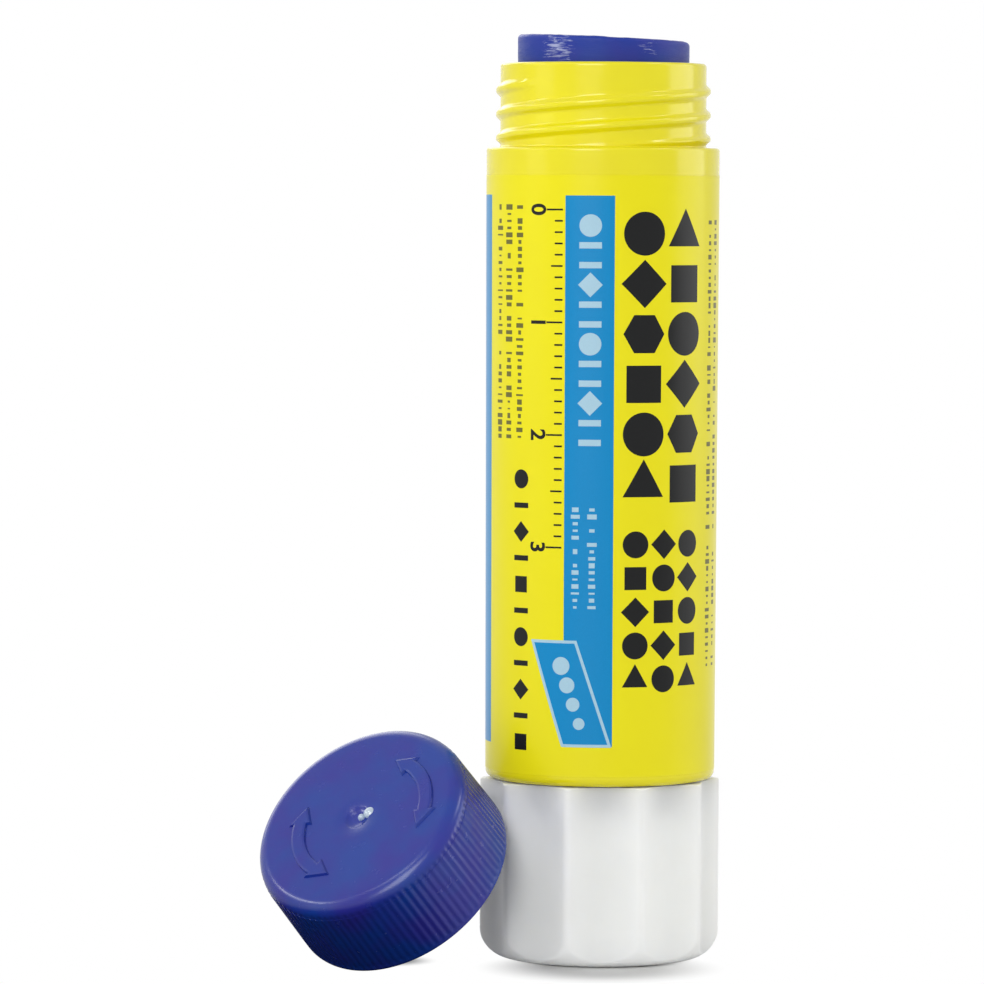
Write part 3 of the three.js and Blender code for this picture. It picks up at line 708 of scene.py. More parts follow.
printPlan = {
    "planRadius": 10.43,
    "strip": 0.4,  # width of the flat strips that bend round
    "sink": 0.008,
    "ink": 0.008,
    "overprint": 0.015,
    "topPrint": 0.022,
    "stripes": [(-3.53, 0.89, 19.93, 68.85), (-17.48, -13.11, 19.7, 68.9)],  # left, right, low, high
    "flash": [(-6.81, 29.35), (-3.72, 19.85), (0.84, 19.85), (-2.34, 29.35)],
    "flashBorder": 0.26,
    "flashDiscs": (0.22, 0.40, 0.58, 0.76),  # how far up each disc is
    "flashAside": (2.3, 0),
    "flashDiscLeast": 0.42,
    "flashDiscGrowth": 0.5,
    "flashDiscInk": 0.029,
    "bigColumns": (3.65, 7.95),
    "bigTop": 65.5,
    "bigPitch": 4.45,
    "bigSize": 1.95,
    "bigRows": [
        ("disc", "triangle"),
        ("diamond", "square"),
        ("hexagon", "disc"),
        ("square", "diamond"),
        ("disc", "hexagon"),
        ("triangle", "square"),
    ],
    "smallColumns": (2.95, 5.75, 8.55),
    "smallTop": 37.9,
    "smallPitch": 3.0,
    "smallSize": 1.2,
    "smallRows": [
        ("disc", "diamond", "disc"),
        ("square", "disc", "diamond"),
        ("diamond", "square", "disc"),
        ("disc", "diamond", "square"),
        ("triangle", "disc", "triangle"),
    ],
    "beads": ("disc", "bar", "bar", "diamond", "bar", "bar"),
    "beadPlace": (-1.25, 66.2),
    "beadPitch": 1.75,
    "beadCount": 12,
    "beadSize": 1.0,
    "rowPlace": (-8.05, 43.6),
    "rowPitch": 2.35,
    "rowShapes": ("disc", "bar", "diamond", "bar", "square", "bar"),
    "rowCount": 11,
    "rowSize": 0.85,
    "rulerRight": -3.78,
    "rulerTop": 67.6,
    "rulerLength": 30,
    "tickWidth": 0.16,
    "tickLengths": {"Short": 0.75, "Middle": 1.1, "Long": 1.55},
    "numberPlace": -6.25,
    "numberSize": 2.1,
    "numberWeight": 0.05,
    "backColumns": (-20.6, -24.9, -29.2),
    "backTop": 65.5,
    "backRows": 10,
    "backShapes": ("square", "disc", "hexagon", "diamond"),
}
fineMarks = {
    "rowPitch": 0.62,
    "shortest": 0.13,
    "longest": 0.5,
    "narrowest": 0.3,
    "widest": 0.95,
    "gaps": 0.14,  # the share of marks that is left out
    "blocks": [
        {"name": "label_fine_left", "right": -8.3, "top": 67.8, "columns": 3, "pitch": 1.45, "length": 21,
         "seed": 4},
        {"name": "label_fine_right", "right": 13.4, "top": 66.5, "columns": 2, "pitch": 1.5, "length": 40,
         "seed": 11},
        {"name": "label_fine_back", "right": 30.2, "top": 66.5, "columns": 9, "pitch": 1.5, "length": 44,
         "seed": 31},
        {"name": "label_fine_stripe", "right": -1.0, "top": 41.0, "columns": 2, "pitch": 1.5, "length": 9.5,
         "seed": 21},
    ],
}
motifs = {  # corners, degrees to the first corner, and reach as a share of the size
    "disc": (40, 0, 1.0),
    "hexagon": (6, 0, 1.0),
    "diamond": (4, 0, 1.1),
    "square": (4, 45, 1.2),
    "triangle": (3, 90, 1.15),
}
barHeight = 0.28  # as a share of the bar's length


def oblong(left, right, low, high):
    return [(left, low), (right, low), (right, high), (left, high)]


def motif(kind, along, up, size):
    # The outline of one motif, anticlockwise
    if kind == "bar":
        half = size * barHeight
        return oblong(along - size, along + size, up - half, up + half)
    corners, first, share = motifs[kind]
    reach = share * size
    points = []
    for i in range(corners):
        angle = math.radians(first + 360 * i / corners)
        points.append((along + reach * math.cos(angle), up + reach * math.sin(angle)))
    return points


def inset(outline, distance):
    # The outline moved inwards by the same distance along each edge
    moved = []
    count = len(outline)
    for i in range(count):
        before, here, after = (Vector(outline[(i + step) % count]) for step in (-1, 0, 1))
        first = (here - before).normalized()
        second = (after - here).normalized()
        inwards = Vector((-first.y, first.x)) + Vector((-second.y, second.x))
        moved.append(tuple(here + inwards * distance / (1 + first.dot(second))))
    return moved


def addNumber(shape, number, along, up, thickness):
    # It reads downwards, with its top to the right.
    curve = bpy.data.curves.new("number", "FONT")
    curve.body = str(number)
    curve.size = printPlan["numberSize"]
    curve.offset = printPlan["numberWeight"]
    curve.extrude = thickness / 2
    curve.align_x = "CENTER"
    curve.align_y = "CENTER"
    writing = bpy.data.objects.new("number", curve)
    bpy.context.collection.objects.link(writing)
    mesh = bpy.data.meshes.new_from_object(writing.evaluated_get(bpy.context.evaluated_depsgraph_get()))
    bpy.data.objects.remove(writing)
    turned90 = Matrix(((0, 1, 0, along), (0, 0, -1, 0), (-1, 0, 0, up), (0, 0, 0, 1)))
    mesh.transform(Matrix.Scale(mm, 4) @ turned90)
    shape.from_mesh(mesh)
    bpy.data.meshes.remove(mesh)


def makeWrapTree():
    # x runs along the film, z up and y into it. The film lies on a shell that widens upwards.
    tree, size = newTree("wrap round the shell", ["Plan Radius", "Low", "High", "Low Radius", "High Radius"])
    place = addNode(tree, "GeometryNodeInputPosition")
    xyz = addNode(tree, "ShaderNodeSeparateXYZ", inputs={0: place})
    angle = addNode(tree, "ShaderNodeMath", {"operation": "DIVIDE"},
                    {0: xyz.outputs["X"], 1: size["Plan Radius"]})
    shell = addNode(tree, "ShaderNodeMapRange", {"clamp": False},
                    {"Value": xyz.outputs["Z"], "From Min": size["Low"], "From Max": size["High"],
                     "To Min": size["Low Radius"], "To Max": size["High Radius"]})
    radius = addNode(tree, "ShaderNodeMath", {"operation": "SUBTRACT"}, {0: shell, 1: xyz.outputs["Y"]})
    sine = addNode(tree, "ShaderNodeMath", {"operation": "SINE"}, {0: angle})
    cosine = addNode(tree, "ShaderNodeMath", {"operation": "COSINE"}, {0: angle})
    x = addNode(tree, "ShaderNodeMath", {"operation": "MULTIPLY"}, {0: sine, 1: radius})
    depth = addNode(tree, "ShaderNodeMath", {"operation": "MULTIPLY"}, {0: cosine, 1: radius})
    y = addNode(tree, "ShaderNodeMath", {"operation": "MULTIPLY"}, {0: depth, 1: -1.0})
    bent = addNode(tree, "ShaderNodeCombineXYZ", inputs={0: x, 1: y, 2: xyz.outputs["Z"]})
    moved = addNode(tree, "GeometryNodeSetPosition", inputs={"Geometry": size["Geometry"], "Position": bent})
    endTree(tree, moved, size["Material"])
    return tree


def makeTickTree():
    tree, size = newTree("ruler ticks", ["Count", "Spacing", "Right", "Top", "Short", "Middle", "Long",
                                         "Width", "Height"])
    start = addNode(tree, "ShaderNodeCombineXYZ", inputs={0: size["Right"], 2: size["Top"]})
    down = addNode(tree, "ShaderNodeMath", {"operation": "MULTIPLY"}, {0: size["Spacing"], 1: -1.0})
    step = addNode(tree, "ShaderNodeCombineXYZ", inputs={2: down})
    line = addNode(tree, "GeometryNodeMeshLine", {"mode": "OFFSET"},
                   {"Count": size["Count"], "Start Location": start, "Offset": step})
    number = addNode(tree, "GeometryNodeInputIndex")
    lengths = [size["Short"]]
    for every, length in ((5, "Middle"), (10, "Long")):
        rest = addNode(tree, "ShaderNodeMath", {"operation": "MODULO"}, {0: number, 1: float(every)})
        marked = addNode(tree, "ShaderNodeMath", {"operation": "LESS_THAN"}, {0: rest, 1: 0.5})
        chosen = addNode(tree, "ShaderNodeMapRange",
                         inputs={"Value": marked, "To Min": lengths[-1], "To Max": size[length]})
        lengths.append(chosen.outputs[0])
    cube = addNode(tree, "GeometryNodeMeshCube", inputs={"Size": (1, 1, 1), "Vertices X": 5})
    toLeft = addNode(tree, "GeometryNodeTransform", inputs={"Geometry": cube, "Translation": (-0.5, 0, 0)})
    scale = addNode(tree, "ShaderNodeCombineXYZ",
                    inputs={0: lengths[-1], 1: size["Height"], 2: size["Width"]})
    ticks = addNode(tree, "GeometryNodeInstanceOnPoints",
                    inputs={"Points": line, "Instance": toLeft, "Scale": scale})
    endTree(tree, ticks, size["Material"])
    return tree


def makeFineTree():
    # Columns of tiny marks of random size, which look like fine print from afar
    tree, size = newTree("fine marks", ["Rows", "Columns", "Row Pitch", "Column Pitch", "Right", "Top",
                                        "Shortest", "Longest", "Narrowest", "Widest", "Height", "Gaps",
                                        "Seed"])
    total = addNode(tree, "ShaderNodeMath", {"operation": "MULTIPLY"}, {0: size["Rows"], 1: size["Columns"]})
    line = addNode(tree, "GeometryNodeMeshLine", inputs={"Count": total})
    number = addNode(tree, "GeometryNodeInputIndex")
    row = addNode(tree, "ShaderNodeMath", {"operation": "MODULO"}, {0: number, 1: size["Rows"]})
    whole = addNode(tree, "ShaderNodeMath", {"operation": "DIVIDE"}, {0: number, 1: size["Rows"]})
    column = addNode(tree, "ShaderNodeMath", {"operation": "FLOOR"}, {0: whole})
    left = addNode(tree, "ShaderNodeMath", {"operation": "MULTIPLY"}, {0: column, 1: size["Column Pitch"]})
    x = addNode(tree, "ShaderNodeMath", {"operation": "SUBTRACT"}, {0: size["Right"], 1: left})
    down = addNode(tree, "ShaderNodeMath", {"operation": "MULTIPLY"}, {0: row, 1: size["Row Pitch"]})
    z = addNode(tree, "ShaderNodeMath", {"operation": "SUBTRACT"}, {0: size["Top"], 1: down})
    place = addNode(tree, "ShaderNodeCombineXYZ", inputs={0: x, 2: z})
    spread = addNode(tree, "GeometryNodeSetPosition", inputs={"Geometry": line, "Position": place})
    chance = addNode(tree, "FunctionNodeRandomValue", inputs={"Seed": size["Seed"]})
    missing = addNode(tree, "ShaderNodeMath", {"operation": "LESS_THAN"},
                      {0: chance.outputs[1], 1: size["Gaps"]})
    kept = addNode(tree, "GeometryNodeDeleteGeometry", inputs={"Geometry": spread, "Selection": missing})
    nextSeed = addNode(tree, "ShaderNodeMath", {"operation": "ADD"}, {0: size["Seed"], 1: 1.0})
    # Sockets 2 and 3 take the least and the most that the random number can be.
    length = addNode(tree, "FunctionNodeRandomValue",
                     inputs={2: size["Shortest"], 3: size["Longest"], "Seed": nextSeed})
    lastSeed = addNode(tree, "ShaderNodeMath", {"operation": "ADD"}, {0: size["Seed"], 1: 2.0})
    width = addNode(tree, "FunctionNodeRandomValue",
                    inputs={2: size["Narrowest"], 3: size["Widest"], "Seed": lastSeed})
    cube = addNode(tree, "GeometryNodeMeshCube", inputs={"Size": (1, 1, 1), "Vertices X": 3})
    scale = addNode(tree, "ShaderNodeCombineXYZ",
                    inputs={0: width.outputs[1], 1: size["Height"], 2: length.outputs[1]})
    marks = addNode(tree, "GeometryNodeInstanceOnPoints",
                    inputs={"Points": kept, "Instance": cube, "Scale": scale})
    endTree(tree, marks, size["Material"])
    return tree


wrapTree = makeWrapTree()
tickTree = makeTickTree()
fineTree = makeFineTree()


def wrapRound(piece):
    # The flat print lands on the film.
    low = shellRadius(labelLowZ) + label["proud"]
    high = shellRadius(labelHighZ) + label["proud"]
    shapeWith(piece, wrapTree, {
        "Plan Radius": printPlan["planRadius"] * mm,
        "Low": labelLowZ * mm,
        "High": labelHighZ * mm,
        "Low Radius": low * mm,
        "High Radius": high * mm,
    })
    sharpen(piece, degrees=50)
    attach(piece, "barrel")


def printShapes(name, ink, layers, numbers=()):
    # layers is a list of outlines with the height of their ink over the film.
    shape = bmesh.new()
    sink = printPlan["sink"]
    for outline, height in layers:
        face = shape.faces.new([shape.verts.new(Vector((along, sink, up)) * mm) for along, up in outline])
        raised = bmesh.ops.extrude_face_region(shape, geom=[face])
        verts = [item for item in raised["geom"] if isinstance(item, bmesh.types.BMVert)]
        bmesh.ops.translate(shape, verts=verts, vec=(0, -(sink + height) * mm, 0))
    for number, along, up in numbers:
        addNumber(shape, number, along, up, 2 * printPlan["ink"])
    bmesh.ops.remove_doubles(shape, verts=shape.verts, dist=weld)
    bmesh.ops.recalc_face_normals(shape, faces=shape.faces)
    low = min(vert.co.x for vert in shape.verts)
    high = max(vert.co.x for vert in shape.verts)
    cut = math.ceil(low / mm / printPlan["strip"]) * printPlan["strip"] * mm
    while cut < high:
        everything = shape.verts[:] + shape.edges[:] + shape.faces[:]
        bmesh.ops.bisect_plane(shape, geom=everything, dist=weld, plane_co=(cut, 0, 0), plane_no=(1, 0, 0))
        cut += printPlan["strip"] * mm
    piece = newObject(name, [], [], ink)
    shape.to_mesh(piece.data)
    shape.free()
    piece.data.shade_smooth()
    wrapRound(piece)


def printTicks(name, ink):
    p = printPlan
    sizes = {
        "Count": p["rulerLength"] + 1.0,
        "Spacing": mm,
        "Right": p["rulerRight"] * mm,
        "Top": p["rulerTop"] * mm,
        "Width": p["tickWidth"] * mm,
        "Height": 2 * p["ink"] * mm,
    }
    for kind, length in p["tickLengths"].items():
        sizes[kind] = length * mm
    piece = newObject(name, [], [], ink)
    shapeWith(piece, tickTree, sizes)
    wrapRound(piece)


def printFine(block, ink, height):
    f = fineMarks
    piece = newObject(block["name"], [], [], ink)
    shapeWith(piece, fineTree, {
        "Rows": float(round(block["length"] / f["rowPitch"])),
        "Columns": float(block["columns"]),
        "Row Pitch": f["rowPitch"] * mm,
        "Column Pitch": block["pitch"] * mm,
        "Right": block["right"] * mm,
        "Top": block["top"] * mm,
        "Shortest": f["shortest"] * mm,
        "Longest": f["longest"] * mm,
        "Narrowest": f["narrowest"] * mm,
        "Widest": f["widest"] * mm,
        "Height": 2 * height * mm,
        "Gaps": f["gaps"],
        "Seed": float(block["seed"]),
    })
    wrapRound(piece)


def makePrint():
    p = printPlan
    ink = p["ink"]
    blue = []
    for stripe in p["stripes"]:
        blue.append((oblong(*stripe), ink))
    blue.append((inset(p["flash"], p["flashBorder"]), p["topPrint"]))
    printShapes("label_blue_print", stripeInk, blue)

    white = [(p["flash"], p["overprint"])]
    along, up = p["beadPlace"]
    for i in range(p["beadCount"]):
        kind = p["beads"][i % len(p["beads"])]
        white.append((motif(kind, along, up - i * p["beadPitch"], p["beadSize"]), p["overprint"]))
    flashLow = Vector(p["flash"][1])
    flashWay = Vector(p["flash"][0]) - flashLow
    for share in p["flashDiscs"]:
        middle = flashLow + flashWay * share + Vector(p["flashAside"])
        size = p["flashDiscLeast"] + p["flashDiscGrowth"] * share
        white.append((motif("disc", middle.x, middle.y, size), p["flashDiscInk"]))
    printShapes("label_white_print", whiteInk, white)

    black = []
    for r, kinds in enumerate(p["bigRows"]):
        for kind, column in zip(kinds, p["bigColumns"]):
            black.append((motif(kind, column, p["bigTop"] - r * p["bigPitch"], p["bigSize"]), ink))
    for r, kinds in enumerate(p["smallRows"]):
        for kind, column in zip(kinds, p["smallColumns"]):
            black.append((motif(kind, column, p["smallTop"] - r * p["smallPitch"], p["smallSize"]), ink))
    for column, along in enumerate(p["backColumns"]):
        for r in range(p["backRows"]):
            kind = p["backShapes"][(r + 2 * column) % len(p["backShapes"])]
            black.append((motif(kind, along, p["backTop"] - r * p["bigPitch"], p["bigSize"]), ink))
    along, up = p["rowPlace"]
    for i in range(p["rowCount"]):
        kind = p["rowShapes"][i % len(p["rowShapes"])]
        black.append((motif(kind, along, up - i * p["rowPitch"], p["rowSize"]), ink))
    numbers = [(i, p["numberPlace"], p["rulerTop"] - 10 * i) for i in range(p["rulerLength"] // 10 + 1)]
    printShapes("label_black_print", blackInk, black, numbers)
    printTicks("label_ruler_ticks", blackInk)

    for block in fineMarks["blocks"]:
        if block["name"] == "label_fine_stripe":
            printFine(block, whiteInk, p["overprint"])
        else:
            printFine(block, fineInk, ink)


makePrint()
print("print ready")


# Knob: flutes that meet in narrow ridges, rounded base

knobTop = (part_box("turn_knob")[1] / mm).z
knob = {
    "columns": 400,
    "flutes": 10,
    "ridgeRadius": 10.83,
    "fluteRadius": 9.75,
    "ridgeWidth": 0.5,
    "firstRidge": 19.5,  # degrees from the front to the ridge on its right
    "round": 2.7,
    "blend": 0.16,
    "topEdge": 0.22,
    "cavity": 8.95,
    "cavityDepth": 2.0,
    "cavityFall": 0.2,
    "cavityEdge": 0.1,
    "footWidth": 0.9,
    "footSlope": 0.6,
    "footRecess": 0.25,
    "footEdge": 0.05,
    "footEdgeWidth": 0.15,
    "closer": 0.2,  # the moulded rim comes nearer to the barrel than its plain solid
}


def makeFluteTree():
    # Each point outside moves in to the outline of ten shallow arcs, with the edge between them softened.
    tree, size = newTree("flute relief", ["Flutes", "Angle", "Flute Radius", "Scoop", "Edge Tangent",
                                          "Ridge Radius", "Blend"])
    place, _, angle = pointsRound(tree)
    fromMiddle = addNode(tree, "ShaderNodeMath", {"operation": "SUBTRACT"}, {0: angle, 1: size["Angle"]})
    half = addNode(tree, "ShaderNodeMath", {"operation": "DIVIDE"}, {0: math.pi, 1: size["Flutes"]})
    otherHalf = addNode(tree, "ShaderNodeMath", {"operation": "MULTIPLY"}, {0: half, 1: -1.0})
    across = addNode(tree, "ShaderNodeMath", {"operation": "WRAP"},
                     {0: fromMiddle, 1: half, 2: otherHalf})
    slope = addNode(tree, "ShaderNodeMath", {"operation": "TANGENT"}, {0: across})
    share = addNode(tree, "ShaderNodeMath", {"operation": "DIVIDE"}, {0: slope, 1: size["Edge Tangent"]})
    square = addNode(tree, "ShaderNodeMath", {"operation": "MULTIPLY"}, {0: share, 1: share})
    chord = addNode(tree, "ShaderNodeMath", {"operation": "MULTIPLY_ADD"},
                    {0: square, 1: size["Scoop"], 2: size["Flute Radius"]})
    cosine = addNode(tree, "ShaderNodeMath", {"operation": "COSINE"}, {0: across})
    arcRadius = addNode(tree, "ShaderNodeMath", {"operation": "DIVIDE"}, {0: chord, 1: cosine})
    outline = addNode(tree, "ShaderNodeMath", {"operation": "SMOOTH_MIN"},
                      {0: arcRadius, 1: size["Ridge Radius"], 2: size["Blend"]})
    flat = addNode(tree, "ShaderNodeVectorMath", {"operation": "MULTIPLY"}, {0: place, 1: (1, 1, 0)})
    radius = addNode(tree, "ShaderNodeVectorMath", {"operation": "LENGTH"}, {0: flat})
    cut = addNode(tree, "ShaderNodeMath", {"operation": "SMOOTH_MIN"},
                  {0: radius.outputs["Value"], 1: outline, 2: size["Blend"]})
    change = addNode(tree, "ShaderNodeMath", {"operation": "SUBTRACT"}, {0: cut, 1: radius.outputs["Value"]})
    wall = addNode(tree, "GeometryNodeInputNamedAttribute", {"data_type": "FLOAT"}, {"Name": "fluteWall"})
    lift = addNode(tree, "ShaderNodeMath", {"operation": "MULTIPLY"}, {0: change, 1: wall})
    moveOutwards(tree, size, place, lift)
    return tree


def makeKnob():
    k = knob
    top = knobTop + k["closer"]
    ridge = k["ridgeRadius"]
    edge = k["topEdge"]
    rounding = k["round"]
    baseRing = ridge - rounding - k["footWidth"]
    recess = k["footRecess"]
    cavityFloor = top - k["cavityDepth"]
    slope = k["footSlope"]
    footEdge = k["footEdge"]
    cavityEdge = k["cavityEdge"]
    profile = [(0, recess), (baseRing - slope, recess), (baseRing - slope / 2, recess - footEdge)]
    profile += [(baseRing, footEdge), (baseRing + k["footEdgeWidth"], 0), (ridge - rounding, 0)]
    profile += arc(ridge - rounding, rounding, rounding, rounding, -90, 0, steps=40)
    profile += rows(ridge, rounding, top - edge, spacing=0.8)
    profile += arc(ridge - edge, top - edge, edge, edge, 0, 90, steps=6)
    profile += [(k["cavity"] + cavityEdge, top), (k["cavity"], top - cavityEdge)]
    profile += [(k["cavity"], cavityFloor), (0, cavityFloor - k["cavityFall"])]
    half = math.pi / k["flutes"]
    edgeAngle = half - k["ridgeWidth"] / 2 / ridge
    edgeX = ridge * math.cos(edgeAngle)

    def outside(radius, height):
        onRim = radius > k["cavity"] + 2 * cavityEdge
        onFoot = height < rounding and radius > baseRing
        return 1.0 if onRim or onFoot else 0.0

    piece = turned("knob_moulding", profile, k["columns"], whitePlastic, {"fluteWall": outside})
    shapeWith(piece, makeFluteTree(), {
        "Flutes": float(k["flutes"]),
        "Angle": math.radians(k["firstRidge"] - 90) + half,
        "Flute Radius": k["fluteRadius"] * mm,
        "Scoop": (edgeX - k["fluteRadius"]) * mm,
        "Edge Tangent": math.tan(edgeAngle),
        "Ridge Radius": ridge * mm,
        "Blend": k["blend"] * mm,
    })
    sharpen(piece, degrees=60)
    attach(piece, "knob")
    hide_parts("turn_knob")


makeKnob()
print("knob ready")


# Glue: a worn bar, rubbed off at a slant

glueFootZ = (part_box("glue_bar")[0] / mm).z
glue = {
    "columns": 192,
    "radius": 7.725,
    "slant": 2.5,
    "edge": 0.38,
    "rise": 2.26,
    "tip": 4.0,
    "bore": 2.85,
    "footRadius": 6.75,
    "footTop": 40.0,
    "footChamfer": 0.2,
    "seen": 1.5,  # the rows lie closer from this far below the mouth
    "firstRow": 0.1,
    "wearFrom": 0.5,  # the slant and the wear grow from this height over the bore's top
    "wearOver": 2,
    "wear": 0.05,
    "wearBroad": 0.55,  # bumps to a millimetre
    "wearFine": 1.7,
    "wearFineShare": 0.5,
    "wearSeeds": (3.1, 8.2),
    "dent": 0.03,
    "dentAcross": 0.4,  # dents to a millimetre
    "dentUp": 0.9,
    "dentWithin": 0.5,  # how near to the outside
    "dentFrom": 1,  # how far above the foot's top
    "topRings": (0.92, 0.88, 0.8, 0.7, 0.6, 0.5, 0.4, 0.3, 0.2, 0.1),  # shares of the radius
}


def makeGlue():
    g = glue
    top = mouthZ + g["rise"]
    edge = g["edge"]
    radius = g["radius"]
    slope = math.tan(math.radians(g["slant"]))
    boreTop = top - g["tip"]
    chamfer = g["footChamfer"]
    seenFrom = mouthZ - g["seen"]
    profile = [(0, boreTop), (g["bore"], boreTop)]
    profile += rows(g["bore"], boreTop, glueFootZ, spacing=6)[1:]
    profile += [(g["footRadius"], glueFootZ), (g["footRadius"], g["footTop"])]
    profile += [(radius - chamfer, g["footTop"])]
    profile += rows(radius, g["footTop"] + chamfer, seenFrom, spacing=2)
    profile += rows(radius, seenFrom + g["firstRow"], top - edge, spacing=0.15)
    profile += arc(radius - edge, top - edge, edge, edge, 0, 90, steps=8)
    profile += [(radius * share, top) for share in g["topRings"]]
    profile += [(0, top)]
    broadSeed, fineSeed = g["wearSeeds"]

    def worn(r, z, angle):
        x = r * math.cos(angle)
        y = r * math.sin(angle)
        over = z - boreTop - g["wearFrom"]
        if over > 0:
            share = min(1, over / g["wearOver"])
            z -= slope * x * share
            broad = noise.noise(Vector((g["wearBroad"] * x, g["wearBroad"] * y, broadSeed)))
            fine = noise.noise(Vector((g["wearFine"] * x, g["wearFine"] * y, fineSeed)))
            z += g["wear"] * (broad + g["wearFineShare"] * fine) * share
        if r > radius - g["dentWithin"] and z > g["footTop"] + g["dentFrom"]:
            r += g["dent"] * noise.noise(Vector((g["dentAcross"] * x, g["dentAcross"] * y, g["dentUp"] * z)))
        return r, z

    piece = turned("glue_block", profile, g["columns"], blueGlue, None, worn)
    sharpen(piece, degrees=50)
    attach(piece, "carrier")
    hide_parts("glue_bar")


makeGlue()
print("glue ready")


# Cap: ribbed skirt, arrows on the top, thread and plug ring inside

cap = {
    "columns": 768,
    "ribs": 96,
    "radius": 10.5,
    "height": 8.8,
    "bore": 9.865,
    "depth": 7.7,
    "draft": 0.2,
    "draftLeft": 0.03,  # of it, where the rounded edge starts
    "edge": 1.4,
    "ribDepth": 0.08,
    "ribLow": 0.25,
    "ribTop": 7.5,
    "ribFade": 0.5,
    "rimEdge": 0.15,
    "plainRim": 0.9,
    "boreChamfer": 0.3,
    "plugOuter": 7.8,
    "plugWall": 0.6,
    "plugHeight": 1.2,
    "plugEdge": 0.15,
    "plugInnerEdge": 0.1,
    "topRings": (7.5, 5.0, 2.5),
    "dimple": 1.15,
    "dimpleDepth": 0.22,
    "dimpleLip": 0.12,
    "dimpleEdge": 0.05,
    "dimpleSlope": 0.2,
    "dimpleMiddle": 0.4,
    "markClear": 0.05,  # the ribs keep this far from the wall's edges
    "threadTop": 0.4,  # the thread inside ends this far below the plug ring
    "threadDepth": -0.38,  # towards the axis
    "threadCrest": 0.1,
    "threadRoot": 0.55,
    "threadRunOut": 0.1,  # as a share of the lead
    "stubSink": 0.05,
    "stubColumns": 32,
    "stubs": [  # radius, height, way and distance from the middle
        (0.60, 0.42, 128, 1.15),
        (0.36, 0.34, 115, 0.34),
    ],
    "tilt": 48.8,
    "heading": -126.4,
    "centre": (-17.765, -6.396),
}


def makeRibTree():
    tree, size = newTree("rib relief", ["Ribs", "Depth", "Low", "Top", "Fade"])
    place, xyz, angle = pointsRound(tree)
    around = addNode(tree, "ShaderNodeMath", {"operation": "MULTIPLY"}, {0: angle, 1: size["Ribs"]})
    wave = addNode(tree, "ShaderNodeMath", {"operation": "COSINE"}, {0: around})
    groove = addNode(tree, "ShaderNodeMath", {"operation": "MULTIPLY_ADD"}, {0: wave, 1: -0.5, 2: 0.5})
    fadeTop = addNode(tree, "ShaderNodeMath", {"operation": "ADD"}, {0: size["Top"], 1: size["Fade"]})
    fade = addNode(tree, "ShaderNodeMapRange", {"interpolation_type": "SMOOTHSTEP"},
                   {"Value": xyz.outputs["Z"], "From Min": size["Top"], "From Max": fadeTop,
                    "To Min": 1.0, "To Max": 0.0})
    fadeLow = addNode(tree, "ShaderNodeMath", {"operation": "ADD"}, {0: size["Low"], 1: size["Fade"]})
    rise = addNode(tree, "ShaderNodeMapRange", {"interpolation_type": "SMOOTHSTEP"},
                   {"Value": xyz.outputs["Z"], "From Min": size["Low"], "From Max": fadeLow})
    wall = addNode(tree, "GeometryNodeInputNamedAttribute", {"data_type": "FLOAT"}, {"Name": "ribWall"})
    part = addNode(tree, "ShaderNodeMath", {"operation": "MULTIPLY"}, {0: groove, 1: fade})
    length = addNode(tree, "ShaderNodeMath", {"operation": "MULTIPLY"}, {0: part, 1: rise})
    share = addNode(tree, "ShaderNodeMath", {"operation": "MULTIPLY"}, {0: length, 1: wall})
    depth = addNode(tree, "ShaderNodeMath", {"operation": "MULTIPLY"}, {0: share, 1: size["Depth"]})
    inwards = addNode(tree, "ShaderNodeMath", {"operation": "MULTIPLY"}, {0: depth, 1: -1.0})
    moveOutwards(tree, size, place, inwards)
    return tree


def leaning():
    # The rim's lowest point is on the table, and the closed top faces the way of the heading.
    tilt = Matrix.Rotation(math.radians(cap["tilt"]), 4, "Y")
    heading = Matrix.Rotation(math.radians(cap["heading"]), 4, "Z")
    lift = cap["radius"] * math.sin(math.radians(cap["tilt"]))
    centre = Vector((*cap["centre"], lift)) * mm
    return Matrix.Translation(centre) @ heading @ tilt


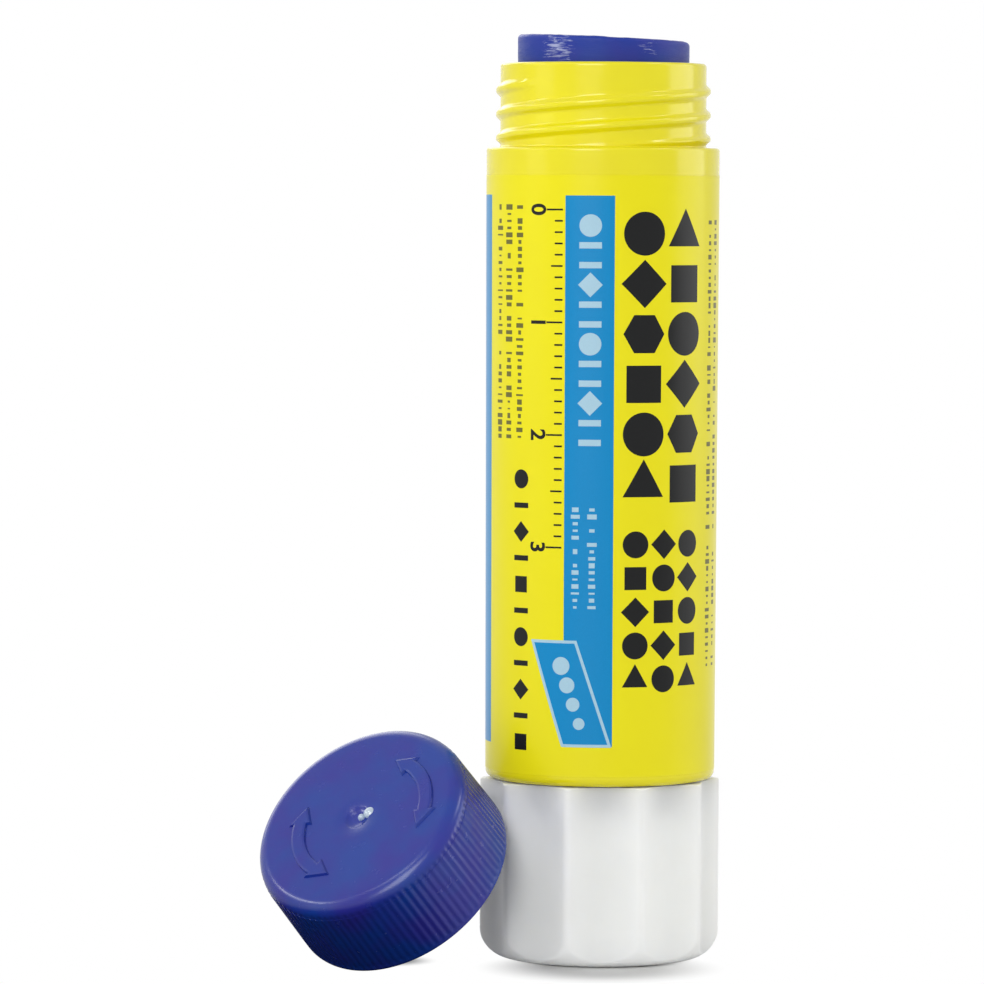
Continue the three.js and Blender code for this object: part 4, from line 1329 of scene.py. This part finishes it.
def makeCap():
    c = cap
    top = c["height"]
    topRadius = c["radius"] - c["draft"]
    edge = c["edge"]
    rim = c["rimEdge"]
    plug = c["plugOuter"]
    plugInside = plug - c["plugWall"]
    plugEdge = c["plugEdge"]
    innerEdge = c["plugInnerEdge"]
    depth = c["depth"]
    plugLow = depth - c["plugHeight"]
    chamfer = c["boreChamfer"]
    dimple = c["dimple"]
    floor = top - c["dimpleDepth"]
    draftedRadius = topRadius + c["draftLeft"]
    profile = [(0, depth), (plugInside, depth)]
    profile += [(plugInside, plugLow + innerEdge), (plugInside + innerEdge, plugLow)]
    profile += [(plug - plugEdge, plugLow), (plug, plugLow + plugEdge), (plug, depth)]
    profile += [(c["bore"] - chamfer, depth)]
    profile += rows(c["bore"], depth - chamfer, rim, spacing=0.22)
    profile += arc(c["bore"] + rim, rim, rim, rim, 180, 270, steps=3)
    profile += arc(c["radius"] - rim, rim, rim, rim, -90, 0, steps=3)
    profile += rows(c["radius"], rim, c["plainRim"], spacing=0.1)
    profile += rows(c["radius"], c["plainRim"], top - edge, spacing=0.6, endRadius=draftedRadius)
    profile += arc(topRadius - edge, top - edge, edge, edge, 0, 90, steps=16)
    profile += [(radius, top) for radius in c["topRings"]]
    profile += [(dimple + c["dimpleLip"], top), (dimple, top - c["dimpleEdge"])]
    profile += [(dimple - c["dimpleSlope"], floor), (c["dimpleMiddle"], floor), (0, floor)]

    def outside(radius, height):
        onSide = radius > c["bore"] + rim + c["markClear"]
        return 1.0 if onSide and 0 <= height < top - c["markClear"] else 0.0

    def inside(radius, height):
        inBore = abs(radius - c["bore"]) < touching
        return 1.0 if inBore and rim < height < depth - chamfer else 0.0

    marks = {"ribWall": outside, "threadWall": inside}
    piece = turned("cap_moulding", profile, c["columns"], bluePlastic, marks)
    shapeWith(piece, makeRibTree(), {
        "Ribs": float(c["ribs"]),
        "Depth": c["ribDepth"] * mm,
        "Low": c["ribLow"] * mm,
        "Top": c["ribTop"] * mm,
        "Fade": c["ribFade"] * mm,
    })
    threadTop = plugLow - c["threadTop"]
    shapeWith(piece, threadTree, threadSizes(c["threadDepth"], threadTop, 0, c["threadCrest"],
                                             c["threadRoot"], c["threadRunOut"]))
    sharpen(piece, degrees=60)
    piece.data.transform(leaning())
    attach(piece, "cap")
    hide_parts("screw_cap")


def makeGateMark():
    # The torn stubs left where the plastic ran in. Their pale colour is partly the whitening of the tear and
    # partly a painted highlight, the glint on them.
    sink = cap["stubSink"]
    low = cap["height"] - cap["dimpleDepth"] - sink
    for number, (radius, height, way, away) in enumerate(cap["stubs"], 1):
        profile = [(0, low)] + arc(0, low, radius, height + sink, 0, 90, steps=8)[:-1]
        profile += [(0, low + height + sink)]
        piece = turned(f"cap_gate_mark_{number}", profile, cap["stubColumns"], gateGlintPlastic)
        angle = math.radians(way)
        aside = Matrix.Translation(Vector((math.cos(angle), math.sin(angle), 0)) * away * mm)
        piece.data.transform(leaning() @ aside)
        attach(piece, "cap")


arrow = {
    "radius": 6.35,
    "width": 1.4,
    "headWidth": 2.35,
    "shaft": 54,
    "tips": 92,
    "turn": -50,
    "aside": 0.55,  # from the middle of the top, across the lean
    "height": 0.28,
    "sink": 0.1,
    "bevel": 0.26,
    "steps": 24,
}


def makeArrows():
    a = arrow
    half = a["shaft"] / 2
    outer = a["radius"] + a["width"] / 2
    inner = a["radius"] - a["width"] / 2
    outerBarb = a["radius"] + a["headWidth"] / 2
    innerBarb = a["radius"] - a["headWidth"] / 2
    along = [a["shaft"] * i / a["steps"] for i in range(a["steps"] + 1)]
    outline = [(a["radius"], -a["tips"] / 2), (outerBarb, -half)]
    outline += [(outer, -half + degrees) for degrees in along]
    outline += [(outerBarb, half), (a["radius"], a["tips"] / 2), (innerBarb, half)]
    outline += [(inner, half - degrees) for degrees in along]
    outline += [(innerBarb, -half)]
    low = cap["height"] - a["sink"]
    shape = bmesh.new()
    for turn in (a["turn"], a["turn"] + 180):
        corners = []
        for radius, degrees in outline:
            angle = math.radians(degrees + turn)
            place = Vector((radius * math.cos(angle), radius * math.sin(angle) + a["aside"], low))
            corners.append(shape.verts.new(place * mm))
        face = shape.faces.new(corners)
        raised = bmesh.ops.extrude_face_region(shape, geom=[face])
        verts = [item for item in raised["geom"] if isinstance(item, bmesh.types.BMVert)]
        bmesh.ops.translate(shape, verts=verts, vec=(0, 0, (a["height"] + a["sink"]) * mm))
        tops = [item for item in raised["geom"] if isinstance(item, bmesh.types.BMFace)]
        bmesh.ops.bevel(shape, geom=tops[0].edges[:], offset=a["bevel"] * mm, segments=2, affect="EDGES",
                        profile=0.5)
    bmesh.ops.recalc_face_normals(shape, faces=shape.faces)
    mesh = bpy.data.meshes.new("cap_arrows")
    shape.to_mesh(mesh)
    shape.free()
    piece = bpy.data.objects.new("cap_arrows", mesh)
    bpy.context.collection.objects.link(piece)
    mesh.materials.append(bluePlastic)
    mesh.transform(leaning())
    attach(piece, "cap")


makeCap()
makeGateMark()
makeArrows()
print("cap ready")


# Spindle and carrier stay as they are

for node in ("screw_spindle", "glue_carrier"):
    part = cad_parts[node]
    part.data.materials.clear()
    part.data.materials.append(naturalPlastic)
print("inner parts ready")
